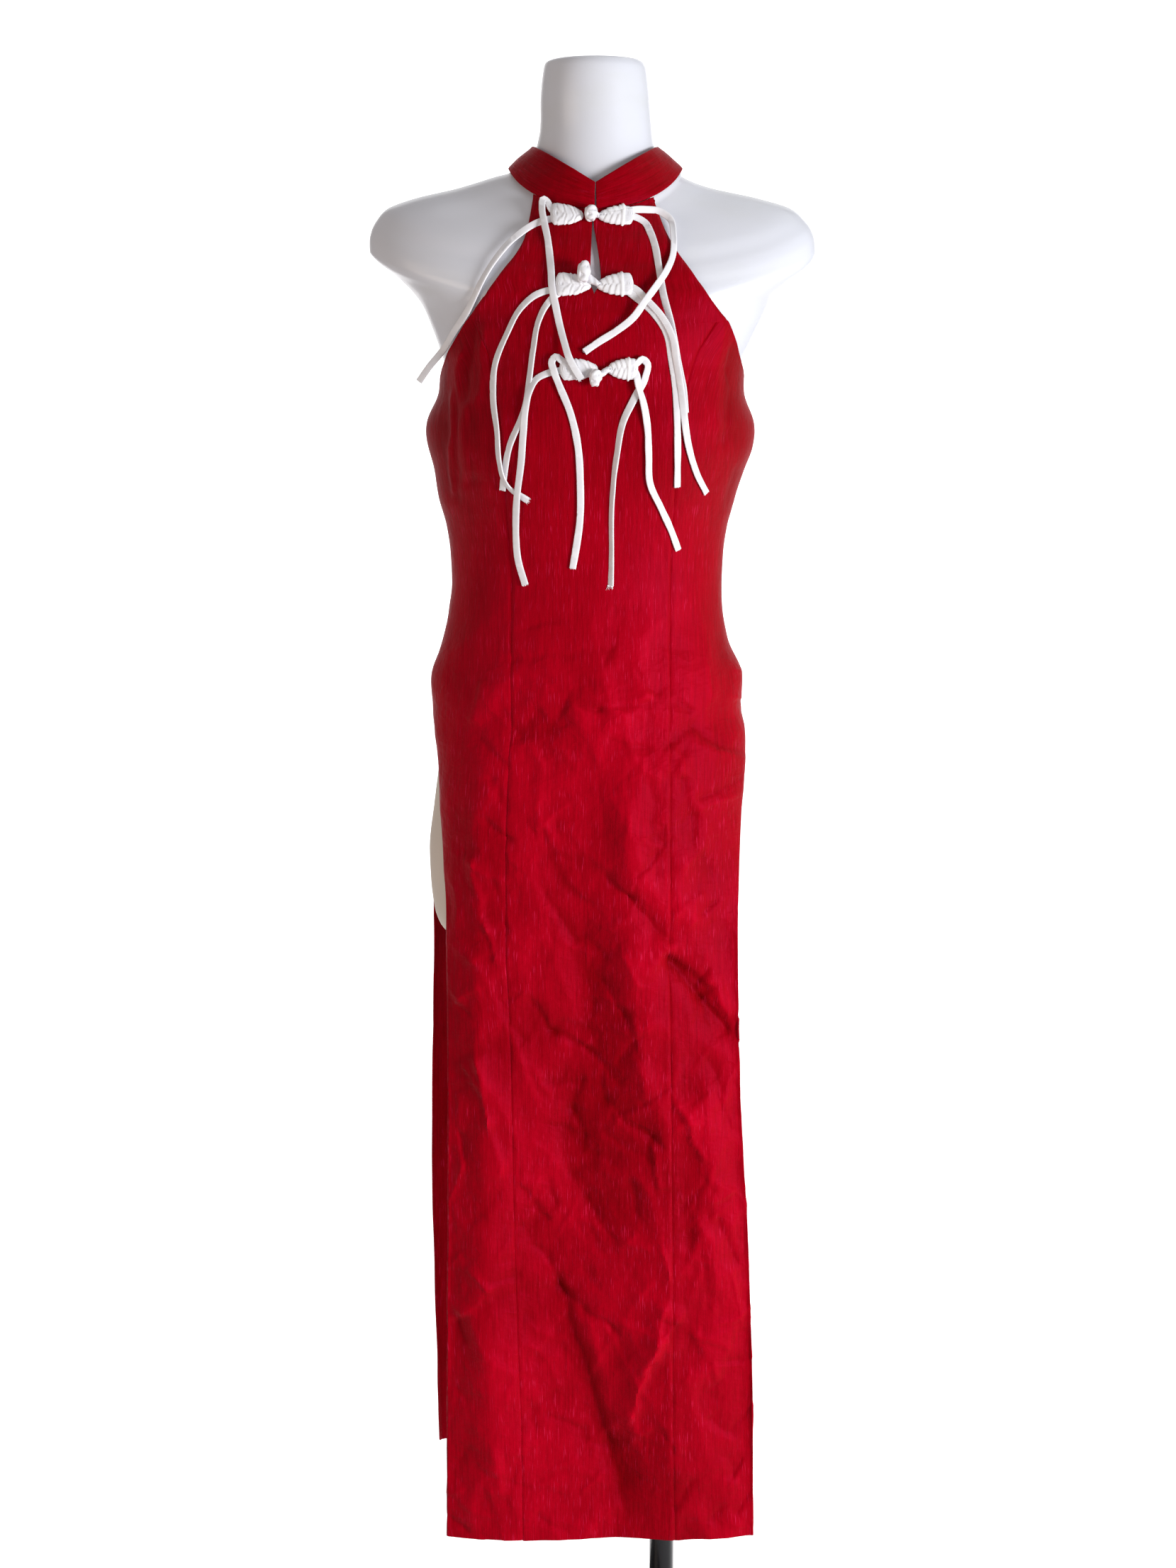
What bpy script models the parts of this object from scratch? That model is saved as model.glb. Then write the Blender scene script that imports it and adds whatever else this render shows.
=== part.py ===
"""A long sleeveless cheongsam with three frog fastenings, worn by a limbless dress form on its stand.

The dress faces -Y and +Z is up. The origin is the middle of the base's underside.
An angle round the body is 0 at the front, a quarter turn at +X and half a turn at the back.
Tables are in millimetres, everything else is in metres.
"""

import math

import bpy
import numpy as np

MM = 0.001
SEAM_GAP = 0.0003
COLLAR_GAP = 0.0008
QUARTER = math.pi / 2

CLOTH = 0.0015
COLLAR_CLOTH = 0.002
CLEARANCE = 0.0025
HEM = 0.198
COLLAR_SEAM = 1.429
KEYHOLE_FOOT = 1.356
ARMHOLE_FOOT = 1.212
SLIT_TOP = 0.955
WAIST_TO_SKIRT = (0.985, 0.925)
SIDE_SEAM = QUARTER - 0.001

FORM_SEGMENTS = 32
FORM_FULLNESS = 0.92
BUST = {"height": 1.207, "middle": 0.004, "spread": 0.080, "wide": 0.050, "tall": 0.058, "rise": 0.014}

BASE_RADIUS = 0.170
BASE_THICK = 0.006
BASE_BEVEL = 0.0015
POLE_PLACE = (0.072, 0.0)
POLE_RADIUS = 0.0118
HUB_RADIUS = 0.021
HUB_HEIGHT = 0.034
FLANGE_RADIUS = 0.034
FLANGE_THICK = 0.006

FROG_THICK = 0.0062
FROG_GAP = 0.0005
TIE_RADIUS = 0.0015
TIE_STEP = 0.0125


class Sections:
    """Rows of named sizes by height, read anywhere on smooth curves that never overshoot a row."""

    def __init__(self, columns, rows):
        data = np.array(sorted(rows), float) * MM
        self.heights = data[:, 0]
        self.values = {name: data[:, i] for i, name in enumerate(columns)}

    def at(self, column, z):
        heights, values = self.heights, self.values[column]
        z = np.clip(z, heights[0], heights[-1])
        rises = np.diff(values) / np.diff(heights)
        before, after = rises[:-1], rises[1:]
        same_way = before * after > 0
        total = np.where(same_way, before + after, 1.0)
        inner = np.where(same_way, 2 * before * after / total, 0.0)
        slopes = np.concatenate([rises[:1], inner, rises[-1:]])
        i = np.clip(np.searchsorted(heights, z, side="right") - 1, 0, len(heights) - 2)
        span = heights[i + 1] - heights[i]
        f = (z - heights[i]) / span
        start = (1 + 2 * f) * (1 - f) ** 2 * values[i] + f * (1 - f) ** 2 * span * slopes[i]
        end = f * f * (3 - 2 * f) * values[i + 1] - f * f * (1 - f) * span * slopes[i + 1]
        return start + end


# The form. A drop lowers the front or the back of a section below its sides.
FORM = Sections(
    ("z", "centre", "half", "front", "back", "front_drop", "back_drop"),
    [
        (1523.5, 7, 39.5, 43, 43, 0, 0),
        (1521.8, 6.5, 42.8, 46, 46, 0, 0),
        (1516, 7, 45.0, 49, 49, 0, 0),
        (1494, 7, 47.5, 51, 52, 0, 0),
        (1467, 8, 49.0, 53, 55, 3, 0),
        (1451.5, 7.5, 51.5, 56, 58, 14, -3),
        (1443.5, 7.5, 56.0, 60, 62, 24, -5),
        (1436, 7.5, 64.0, 65, 67, 31, -6),
        (1429, 7.3, 74.5, 69, 71, 36, -6),
        (1425.3, 1, 83.0, 71, 73, 39, -4),
        (1416.2, -2, 110.0, 77, 78, 43, 1),
        (1407.1, -0.5, 151.0, 83, 84, 45, 6),
        (1398, 2, 178.0, 87, 88, 45, 9),
        (1389, 3, 187.5, 90, 91, 44, 11),
        (1380, 4, 193.5, 94, 94, 42, 12),
        (1370.5, 4.5, 196.2, 97, 96, 39, 13),
        (1361.3, 5, 196.6, 99, 97, 36, 12),
        (1352.1, 7.0, 191.0, 102, 99, 33, 12),
        (1342.9, 8.8, 180.0, 104, 101, 29, 11),
        (1333.7, 8.5, 170.0, 106, 102, 25, 10),
        (1324.5, 8, 160.5, 108, 103, 21, 8),
        (1315.2, 8, 153.8, 109, 104, 17, 7),
        (1296.7, 7.5, 145.2, 112, 105, 10, 4),
        (1278.1, 6.5, 137.5, 114, 105, 4, 2),
        (1259.5, 5, 131.0, 115, 104, 1, 0),
        (1241, 4, 131.0, 116, 102, 0, 0),
        (1209, 3, 136.5, 117, 98, 0, 0),
        (1192, 3, 137.5, 115, 96, 0, 0),
        (1172, 2, 134.5, 110, 93, 0, 0),
        (1146.5, 0, 129.0, 103, 89, 0, 0),
        (1121, 0, 122.0, 97, 86, 0, 0),
        (1096, 0, 118.6, 92, 84, 0, 0),
        (1070, 0, 117.6, 90, 84, 0, 0),
        (1044, -1, 119.8, 91, 87, 0, 0),
        (1019, -1, 124.5, 94, 92, 0, 0),
        (993, 0, 130.5, 97, 100, 0, 0),
        (967, 0, 135.0, 99, 108, 0, 0),
        (940, 0.5, 135.0, 100, 114, 0, 0),
        (914, 1, 135.5, 100, 119, 0, 0),
        (870, -1, 138.5, 98, 122, 0, 0),
        (826, -3, 141.5, 94, 120, 0, 0),
        (796, -3, 140.5, 90, 113, 0, 0),
        (771, -3, 137.5, 85, 104, 0, 0),
        (756, -3, 132.5, 79, 95, 0, 0),
        (748, -3, 125.0, 73, 88, 0, 0),
        (745, -3, 116.0, 67, 81, 0, 0),
    ],
)
FORM_UNDERSIDE = FORM.heights[0]

# The skirt's two sheets. A sheet runs from left to right, deepest at its middle, and a bow of 1000
# is half an ellipse while 2000 is a shallow arc.
SHEET = ("z", "left", "right", "middle", "edge", "bow")
FRONT_SKIRT = Sections(
    SHEET,
    [
        (1000, -137.5, 137.5, 99, 0, 920),
        (967, -138.5, 138.5, 102.5, 0, 920),
        (955, -138.5, 139.5, 103.5, 0, 920),
        (940, -135.5, 142.0, 104, 14, 940),
        (915, -132.5, 141.8, 104, 29, 1000),
        (890, -130.5, 140.0, 104.5, 41, 1100),
        (868, -129.0, 137.6, 105, 48, 1200),
        (821, -126.2, 135.7, 105.5, 60, 1400),
        (772, -123.9, 134.4, 105, 74, 1700),
        (697, -123.5, 135.1, 104.5, 84, 1900),
        (594, -124.0, 138.1, 104, 90, 2000),
        (488, -124.8, 145.0, 105, 93, 2000),
        (434, -126.0, 147.4, 106, 94, 2000),
        (326, -126.9, 151.1, 108, 97, 2000),
        (198, -128.0, 152.6, 110, 100, 2000),
    ],
)
BACK_SKIRT = Sections(
    SHEET,
    [
        (1000, -137.5, 137.5, 101, 0, 920),
        (967, -138.5, 138.5, 111, 0, 920),
        (955, -138.5, 139.5, 114, 0, 920),
        (940, -137.0, 139.5, 119, 16, 950),
        (915, -134.0, 139.0, 124, 37, 1050),
        (868, -136.5, 139.0, 127, 46, 1150),
        (821, -141.5, 139.5, 126.5, 50, 1200),
        (772, -144.0, 139.5, 123, 62, 1300),
        (735, -144.8, 139.5, 120, 76, 1500),
        (650, -147.6, 140.5, 116, 88, 1800),
        (478, -151.2, 145.5, 114, 96, 2000),
        (330, -148.9, 150.0, 114, 100, 2000),
        (198, -146.5, 152.0, 115, 104, 2000),
    ],
)

# Where each cut edge and seam runs across the front. The back follows the same armholes.
ARMHOLE = Sections(
    ("z", "left", "right"),
    [
        (1415, -46, 54),
        (1395, -48, 60),
        (1368, -53.5, 70.5),
        (1332, -78.5, 95),
        (1296, -105.5, 120.5),
        (1259.5, -125.5, 136.0),
        (1230, -134.5, 142.0),
        (1190, -150, 157),
    ],
)
PRINCESS_SEAM = Sections(
    ("z", "left", "right"),
    [
        (1306, -98.5, 113.0),
        (1287, -89.5, 101.5),
        (1268, -81.6, 91.5),
        (1220, -74.0, 80.0),
        (1155, -70.0, 75.5),
        (1072, -65.0, 72.5),
        (949, -66.0, 72.0),
        (828, -70.0, 72.5),
        (746, -71.0, 73.0),
        (673, -68.5, 74.0),
        (448, -65.0, 77.0),
        (305, -60.0, 78.0),
        (194, -58.5, 81.0),
    ],
)
# The slit under the collar, closed at the collar and below by the frogs.
KEYHOLE = Sections(
    ("z", "middle", "half"),
    [
        (1410, 4.8, 0.35),
        (1380, 5.2, 0.7),
        (1362, 6.2, 2.4),
        (1345, 7.1, 4.0),
        (1334, 7.3, 4.6),
        (1327, 6.8, 3.2),
        (1320, 6.2, 0),
    ],
)

# The largest folds: a soft ridge, or a trough where the height is negative, along a line.
FOLD = ("from_x", "from_z", "to_x", "to_z", "width", "height")
FRONT_FOLDS = [
    (-104, 1270, -96, 1175, 12, 2.2),
    (114, 1300, 121, 1215, 12, 2.2),
    (-10, 972, 78, 962, 12, 1.6),
    (4, 900, 4, 450, 26, -3.0),
    (-37, 844, -7, 795, 14, -2.0),
    (18, 814, 56, 771, 14, -2.2),
    (76, 737, 132, 668, 14, -5.0),
    (106, 625, 116, 452, 18, 3.4),
    (-100, 560, -96, 300, 20, 2.6),
    (-32, 395, 27, 249, 20, 5.0),
    (67, 404, 38, 317, 18, 4.2),
]
BACK_FOLDS = [
    (-62, 760, -80, 330, 24, 3.6),
    (58, 730, 84, 260, 26, 4.2),
    (2, 640, 14, 220, 24, -3.2),
    (-120, 690, -70, 610, 16, -3.0),
]


def bowed(fore):
    """0 at the sides and 1 at the front and back, like the size of a cosine with its kink rounded."""
    round_off = 0.28
    return (np.sqrt(fore**2 + round_off**2) - round_off) / (math.hypot(1, round_off) - round_off)


def form_surface(z, t):
    """Points of the dress form's surface at nominal height z and angle t."""
    fore = np.cos(t)
    ahead = fore > 0
    depth = np.where(ahead, FORM.at("front", z), FORM.at("back", z))
    drop = np.where(ahead, FORM.at("front_drop", z), FORM.at("back_drop", z))
    x = FORM.at("centre", z) + FORM.at("half", z) * np.sin(t)
    height = z - drop * bowed(fore)
    across = (np.abs(x - BUST["middle"]) - BUST["spread"]) / BUST["wide"]
    along = (height - BUST["height"]) / BUST["tall"]
    cup = BUST["rise"] * np.exp(-(across**2) - along**2) * np.clip(fore * 3, 0, 1)
    y = -np.sign(fore) * depth * np.abs(fore) ** FORM_FULLNESS - cup
    return np.stack(np.broadcast_arrays(x, y, height), axis=-1)


def lifted(surface, z, t, lift):
    """Points of a surface, moved out along its normals by lift."""
    rise, turn = 0.0006, 0.004
    along = surface(z + rise, t) - surface(z - rise, t)
    around = surface(z, t + turn) - surface(z, t - turn)
    normals = np.cross(around, along)
    normals /= np.linalg.norm(normals, axis=-1, keepdims=True)
    return surface(z, t) + np.asarray(lift)[..., None] * normals


def bell(value, middle, width):
    return np.exp(-(((value - middle) / width) ** 2))


def ease(z, t):
    """How far the cloth stands off the form: it springs out at the armholes' feet and over the hips."""
    side = np.abs(np.sin(t)) ** 10
    behind = 0.0015 * bell(z, 1.262, 0.03) * np.clip(-2 * np.cos(t), 0, 1)
    return CLEARANCE + behind + side * (0.006 * bell(z, 1.207, 0.022) + 0.0045 * bell(z, 0.988, 0.017))


def bodice(z, t):
    return lifted(form_surface, z, t, ease(z, t))


def skirt(z, t):
    fore = np.cos(t)
    ahead = fore > 0

    def size(column):
        return np.where(ahead, FRONT_SKIRT.at(column, z), BACK_SKIRT.at(column, z))

    bow = size("bow")
    x = (size("left") + size("right")) / 2 + (size("right") - size("left")) / 2 * np.sin(t)
    depth = size("edge") + (size("middle") - size("edge")) * np.abs(fore) ** bow
    return np.stack(np.broadcast_arrays(x, -np.sign(fore) * depth, z), axis=-1)


def skirt_share(z):
    """0 on the bodice, 1 on the skirt."""
    high, low = WAIST_TO_SKIRT
    f = np.clip((high - z) / (high - low), 0, 1)
    return f * f * (3 - 2 * f)


def cloth(z, t):
    """Points of the cloth's inner face before its folds."""
    share = skirt_share(z)[..., None] if np.ndim(z) else skirt_share(z)
    return (1 - share) * bodice(z, t) + share * skirt(z, t)


def fold_lift(points, front):
    """How far the large folds move the cloth out."""
    x, z = points[..., 0], points[..., 2]
    total = np.zeros_like(x)
    for row in FRONT_FOLDS if front else BACK_FOLDS:
        fold = dict(zip(FOLD, np.array(row, float) * MM))
        run_x, run_z = fold["to_x"] - fold["from_x"], fold["to_z"] - fold["from_z"]
        length = math.hypot(run_x, run_z)
        near = ((x - fold["from_x"]) * run_x + (z - fold["from_z"]) * run_z) / length
        off = ((x - fold["from_x"]) * run_z - (z - fold["from_z"]) * run_x) / length
        past = np.maximum(0, np.abs(near - length / 2) - length / 2)
        total += fold["height"] * np.exp(-((off**2 + past**2) / fold["width"] ** 2))
    return total


def cloth_faces(z, t, thickness, front):
    """The inner and outer points of the cloth at each nominal height and angle."""
    folds = fold_lift(cloth(z, t), front)
    return lifted(cloth, z, t, folds), lifted(cloth, z, t, folds + thickness)


def angle_at(x, z, front=True):
    """The angle at which the cloth of nominal height z reaches x."""
    skirt_sizes = FRONT_SKIRT if front else BACK_SKIRT
    share = skirt_share(z)
    left, right = skirt_sizes.at("left", z), skirt_sizes.at("right", z)
    centre = (1 - share) * FORM.at("centre", z) + share * (left + right) / 2
    half = (1 - share) * (FORM.at("half", z) + CLEARANCE) + share * (right - left) / 2
    return np.arcsin(np.clip((x - centre) / half, -1, 1))


def edge_angle(table, column, z, gap=0.0, front=True):
    """The angle of a table's edge on the section of nominal height z, moved along x by gap."""
    name = "front_drop" if front else "back_drop"
    height = z
    for _ in range(6):
        t = angle_at(table.at(column, height) + gap, z, front)
        height = z - FORM.at(name, z) * bowed(np.cos(t))
    return t


def on_front(x, z, lift):
    """The points that lie lift above the front's outer face, at x and height z."""
    x, z, lift = (np.atleast_1d(np.asarray(value, float)) for value in (x, z, lift))
    nominal, t = z, 0.0
    for _ in range(24):
        t = angle_at(x, nominal)
        nominal = (nominal + z + FORM.at("front_drop", nominal) * bowed(np.cos(t))) / 2
    folds = fold_lift(cloth(nominal, t), True)
    return lifted(cloth, nominal, t, folds + CLOTH + lift)


def smooth_path(points, step):
    """Points about a step apart on a smooth curve through the given ones."""
    points = np.array(points, float)
    run = np.concatenate([[0], np.cumsum(np.linalg.norm(np.diff(points, axis=0), axis=1))])
    slopes = np.gradient(points, run, axis=0)
    places = np.linspace(0, run[-1], max(3, round(run[-1] / step) + 1))
    i = np.clip(np.searchsorted(run, places, side="right") - 1, 0, len(run) - 2)
    span = (run[i + 1] - run[i])[:, None]
    f = (places - run[i])[:, None] / span
    start = (1 + 2 * f) * (1 - f) ** 2 * points[i] + f * (1 - f) ** 2 * span * slopes[i]
    return start + f * f * (3 - 2 * f) * points[i + 1] - f * f * (1 - f) * span * slopes[i + 1]


def make_object(name, vertices, faces, material):
    mesh = bpy.data.meshes.new(name)
    mesh.from_pydata([tuple(v) for v in vertices], [], faces)
    mesh.materials.append(material)
    mesh.shade_smooth()
    mesh.set_sharp_from_angle(angle=math.radians(40))
    obj = bpy.data.objects.new(name, mesh)
    bpy.context.scene.collection.objects.link(obj)
    return obj


def wall(name, material, inner, outer, quads):
    """A closed wall between two faces that share their quads, with a rim along each open edge."""
    count = len(outer)
    faces = [tuple(q) for q in quads]
    faces += [tuple(count + i for i in reversed(q)) for q in quads]
    edges = {(q[i], q[(i + 1) % 4]) for q in quads for i in range(4)}
    faces += [(b, a, count + a, count + b) for a, b in sorted(edges) if (b, a) not in edges]
    return make_object(name, list(outer) + list(inner), faces, material)


def grid(rows, columns, start=0):
    """Quads of a grid whose rows run downwards and whose columns run to +X on the front."""
    return [
        (start + (i + 1) * columns + j, start + (i + 1) * columns + j + 1,
         start + i * columns + j + 1, start + i * columns + j)
        for i in range(rows - 1)
        for j in range(columns - 1)
    ]


def row_heights(top):
    """Nominal heights of the panels' rows from top to hem, closest where the body curves most."""
    stretches = ((COLLAR_SEAM - COLLAR_GAP, 1.407, 5), (1.407, KEYHOLE_FOOT, 4), (KEYHOLE_FOOT, ARMHOLE_FOOT, 9))
    stretches += ((ARMHOLE_FOOT, SLIT_TOP, 13), (SLIT_TOP, 0.8, 7), (0.8, HEM, 15))
    heights = [np.linspace(high, low, count + 1)[1:] for high, low, count in stretches]
    heights = np.concatenate([[COLLAR_SEAM - COLLAR_GAP], *heights])
    return heights[heights <= top + 1e-6]


def outer_edge(side, z, front):
    """The angle of a panel's outer edge: the armhole above, the side seam or slit edge below."""
    if z <= ARMHOLE_FOOT:
        t = SIDE_SEAM
    else:
        t = min(SIDE_SEAM, abs(edge_angle(ARMHOLE, side, z, 0.0, front)))
    return t if side == "right" else -t


def panel(name, material, top, left, right, columns, front=True):
    """A panel between two edges, each a function that gives an angle at a nominal height."""
    heights = row_heights(top)
    places = np.linspace(0, 1, columns)
    t = np.array([[left(z) * (1 - f) + right(z) * f for f in places] for z in heights])
    z = np.repeat(heights[:, None], columns, axis=1)
    inner, outer = cloth_faces(z, t, CLOTH, front)
    return wall(name, material, inner.reshape(-1, 3), outer.reshape(-1, 3), grid(len(heights), columns))


def front_centre(material, columns=5):
    """The front's middle panel: two halves that part at the keyhole and share a column below it."""
    heights = row_heights(COLLAR_SEAM)
    split = int(np.argmin(np.abs(heights - KEYHOLE_FOOT)))

    def cut(side, z):
        gap = SEAM_GAP / 2 * (1 if side == "left" else -1)
        armhole = edge_angle(ARMHOLE, side, z)
        seam = edge_angle(PRINCESS_SEAM, side, z, gap)
        return max(armhole, seam) if side == "left" else min(armhole, seam)

    def keyhole(z, way):
        actual = z - FORM.at("front_drop", z)
        return angle_at(KEYHOLE.at("middle", actual) + way * KEYHOLE.at("half", actual), z)

    places = np.linspace(0, 1, columns)
    left = np.array([[cut("left", z) * (1 - f) + keyhole(z, -1) * f for f in places] for z in heights])
    right = np.array([[keyhole(z, 1) * (1 - f) + cut("right", z) * f for f in places] for z in heights])
    t = np.concatenate([left, right]).ravel()
    z = np.repeat(np.concatenate([heights, heights]), columns)
    inner, outer = cloth_faces(z, t, CLOTH, True)
    second = len(heights) * columns
    shared = {second + i * columns: i * columns + columns - 1 for i in range(split, len(heights))}
    quads = grid(len(heights), columns) + grid(len(heights), columns, second)
    quads = [tuple(shared.get(i, i) for i in q) for q in quads]
    used = sorted({i for q in quads for i in q})
    renumber = {old: new for new, old in enumerate(used)}
    quads = [tuple(renumber[i] for i in q) for q in quads]
    return wall("front_centre", material, inner[used], outer[used], quads)


def front_sides(material, columns=5):
    top = 1.309
    for side, sign in (("left", -1), ("right", 1)):

        def seam(z, side=side, sign=sign):
            return edge_angle(PRINCESS_SEAM, side, z, sign * SEAM_GAP / 2)

        def edge(z, side=side):
            return outer_edge(side, z, True)

        ends = (edge, seam) if side == "left" else (seam, edge)
        panel(f"front_side_{side}", material, top, *ends, columns)


def backs(material, columns=8):
    def seam(z, sign):
        centre = FORM.at("centre", z) * (1 - skirt_share(z))
        return math.pi - angle_at(centre + sign * SEAM_GAP / 2, z, False)

    def edge(side, z):
        return math.pi - outer_edge(side, z, False)

    panel("back_right", material, COLLAR_SEAM, lambda z: edge("right", z), lambda z: seam(z, 1), columns, False)
    panel("back_left", material, COLLAR_SEAM, lambda z: seam(z, -1), lambda z: edge("left", z), columns, False)


COLLAR_TOP = {"z": 1.4495, "centre": 0.0073, "half": 0.0537, "front": 0.0665, "back": 0.0635,
              "notch": 0.034, "nape": 0.006}


def collar_surface(share, t):
    """Points of the collar's inner face, from its seam at 0 to its top edge at 1."""
    seam = lifted(form_surface, np.full_like(t, COLLAR_SEAM), t, np.full_like(t, CLEARANCE))
    fore = np.cos(t)
    depth = np.where(fore > 0, COLLAR_TOP["front"], COLLAR_TOP["back"])
    notch = COLLAR_TOP["notch"] * (1 - np.abs(np.sin(t)))
    nape = COLLAR_TOP["nape"] * np.abs(fore)
    top = np.stack(
        [
            COLLAR_TOP["centre"] + COLLAR_TOP["half"] * np.sin(t),
            -depth * fore,
            COLLAR_TOP["z"] + np.where(fore > 0, -notch, nape),
        ],
        axis=-1,
    )
    share = share[..., None]
    bulge = 0.0012 * np.sin(math.pi * share) * np.stack([np.sin(t), -fore, 0 * t], axis=-1)
    return seam * (1 - share) + top * share + bulge


def collar(material, columns=45, rows=4):
    opening = 0.0006 / COLLAR_TOP["half"]
    t = np.linspace(opening, 2 * math.pi - opening, columns)
    t, share = np.meshgrid(t, np.linspace(1, 0, rows))
    inner = collar_surface(share, t)
    outer = lifted(collar_surface, share, t, np.full_like(t, COLLAR_CLOTH))
    return wall("collar", material, inner.reshape(-1, 3), outer.reshape(-1, 3), grid(rows, columns))


def form_torso(material):
    angles = np.arange(FORM_SEGMENTS) * 2 * math.pi / FORM_SEGMENTS
    heights = FORM.heights[::-1]
    t, z = np.meshgrid(angles, heights)
    points = form_surface(z, t).reshape(-1, 3)
    n = FORM_SEGMENTS
    faces = [
        ((i + 1) * n + j, (i + 1) * n + (j + 1) % n, i * n + (j + 1) % n, i * n + j)
        for i in range(len(heights) - 1)
        for j in range(n)
    ]
    faces.append(tuple(range(n)))
    faces.append(tuple((len(heights) - 1) * n + j for j in reversed(range(n))))
    return make_object("form_torso", points, faces, material)


def turned(name, material, profile, place=(0.0, 0.0), segments=32):
    """A solid of revolution: profile holds (radius, height) from the bottom to the top."""
    vertices = [
        (place[0] + r * math.cos(2 * math.pi * k / segments), place[1] + r * math.sin(2 * math.pi * k / segments), h)
        for r, h in profile
        for k in range(segments)
    ]
    faces = [
        (i * segments + k, i * segments + (k + 1) % segments,
         (i + 1) * segments + (k + 1) % segments, (i + 1) * segments + k)
        for i in range(len(profile) - 1)
        for k in range(segments)
    ]
    faces.append(tuple(reversed(range(segments))))
    faces.append(tuple((len(profile) - 1) * segments + k for k in range(segments)))
    return make_object(name, vertices, faces, material)


def stand(material):
    b = BASE_BEVEL
    turned("stand_base", material, [
        (BASE_RADIUS - b, 0), (BASE_RADIUS, b), (BASE_RADIUS, BASE_THICK - b), (BASE_RADIUS - b, BASE_THICK),
    ], segments=40)
    hub_foot = BASE_THICK + SEAM_GAP
    turned("stand_hub", material, [
        (HUB_RADIUS, hub_foot), (HUB_RADIUS, hub_foot + HUB_HEIGHT - 0.004),
        (HUB_RADIUS - 0.004, hub_foot + HUB_HEIGHT),
    ], POLE_PLACE, 24)
    flange_top = FORM_UNDERSIDE - SEAM_GAP
    flange_foot = flange_top - FLANGE_THICK
    turned("stand_flange", material, [
        (FLANGE_RADIUS - 0.002, flange_foot), (FLANGE_RADIUS, flange_foot + 0.002), (FLANGE_RADIUS, flange_top),
    ], POLE_PLACE, 24)
    turned("stand_pole", material, [
        (POLE_RADIUS, hub_foot + HUB_HEIGHT + SEAM_GAP), (POLE_RADIUS, flange_foot - SEAM_GAP),
    ], POLE_PLACE, 20)


# Each frog's halves, from the knot's side to the outer end, and its knot, in millimetres.
FROGS = {
    "top": {"z": 1385.6, "loop": (-2.8, -31), "braid": (9.4, 40), "knot": (3.7, 1386.2, 0), "tilt": 0.0},
    "middle": {"z": 1326.2, "loop": (3.6, -27), "braid": (8.4, 39.5), "knot": (-2.4, 1334.0, 4.0), "tilt": 0.03},
    "low": {"z": 1258.6, "loop": (9.6, -23), "braid": (17.6, 43), "knot": (7.4, 1250.6, 2.9), "tilt": -0.02},
}
# A half's height at each share of its length, as a share of its tallest.
FROG_PROFILE = ((0.0, 0.34), (0.18, 0.62), (0.4, 0.9), (0.62, 1.0), (0.82, 0.94), (0.94, 0.66), (1.0, 0.3))
FROG_HEIGHT = 0.0170
KNOT_SIZE = (0.0104, 0.0146, 0.0100)


def frog_half(name, material, start, end, z, tilt):
    """A flat tapered pad that follows the front's face, from start to end along x."""
    sides = 10
    share, size = (column[:, None] for column in np.array(FROG_PROFILE).T)
    turn = 2 * math.pi * np.arange(sides) / sides
    x = start + (end - start) * share + 0 * turn
    thick = FROG_THICK * (0.55 + 0.45 * size)
    rise = FROG_HEIGHT / 2 * size * np.sin(turn)
    lift = FROG_GAP + thick / 2 * (1 + np.cos(turn))
    points = on_front(x, z + tilt * (x - start) + rise, lift).reshape(-1, 3)
    rings = len(FROG_PROFILE)
    faces = [
        (i * sides + k, i * sides + (k + 1) % sides, (i + 1) * sides + (k + 1) % sides, (i + 1) * sides + k)
        for i in range(rings - 1)
        for k in range(sides)
    ]
    faces += [tuple(reversed(range(sides))), tuple((rings - 1) * sides + k for k in range(sides))]
    if end > start:
        faces = [tuple(reversed(face)) for face in faces]
    return make_object(name, points, faces, material)


def knot(name, material, x, z, lift, rings=7, sides=10):
    """The knot button: a ball that lies on the front, taller than it is wide."""
    wide, tall, thick = KNOT_SIZE
    polar = math.pi * np.arange(1, rings)[:, None] / rings
    turn = 2 * math.pi * np.arange(sides) / sides
    dx = wide / 2 * np.sin(polar) * np.cos(turn)
    dz = tall / 2 * np.sin(polar) * np.sin(turn)
    up = lift + FROG_GAP + thick / 2 * (1 - np.cos(polar)) + 0 * turn
    foot, crown = lift + FROG_GAP, lift + FROG_GAP + thick
    points = np.concatenate([
        on_front(x, z, foot), on_front(x + dx, z + dz, up).reshape(-1, 3), on_front(x, z, crown),
    ])
    last = len(points) - 1
    faces = []
    for k in range(sides):
        n = (k + 1) % sides
        faces.append((0, 1 + n, 1 + k))
        for i in range(rings - 2):
            a, b = 1 + i * sides, 1 + (i + 1) * sides
            faces.append((a + k, a + n, b + n, b + k))
        crown_ring = 1 + (rings - 2) * sides
        faces.append((crown_ring + k, crown_ring + n, last))
    return make_object(name, points, faces, material)


def frogs(material):
    for place, frog in FROGS.items():
        z = frog["z"] * MM
        for half in ("loop", "braid"):
            start, end = (value * MM for value in frog[half])
            tilt = frog["tilt"] if half == "braid" else -frog["tilt"]
            frog_half(f"frog_{place}_{half}_half", material, start, end, z, tilt)
        knot(f"frog_{place}_knot", material, *(value * MM for value in frog["knot"]))


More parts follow.
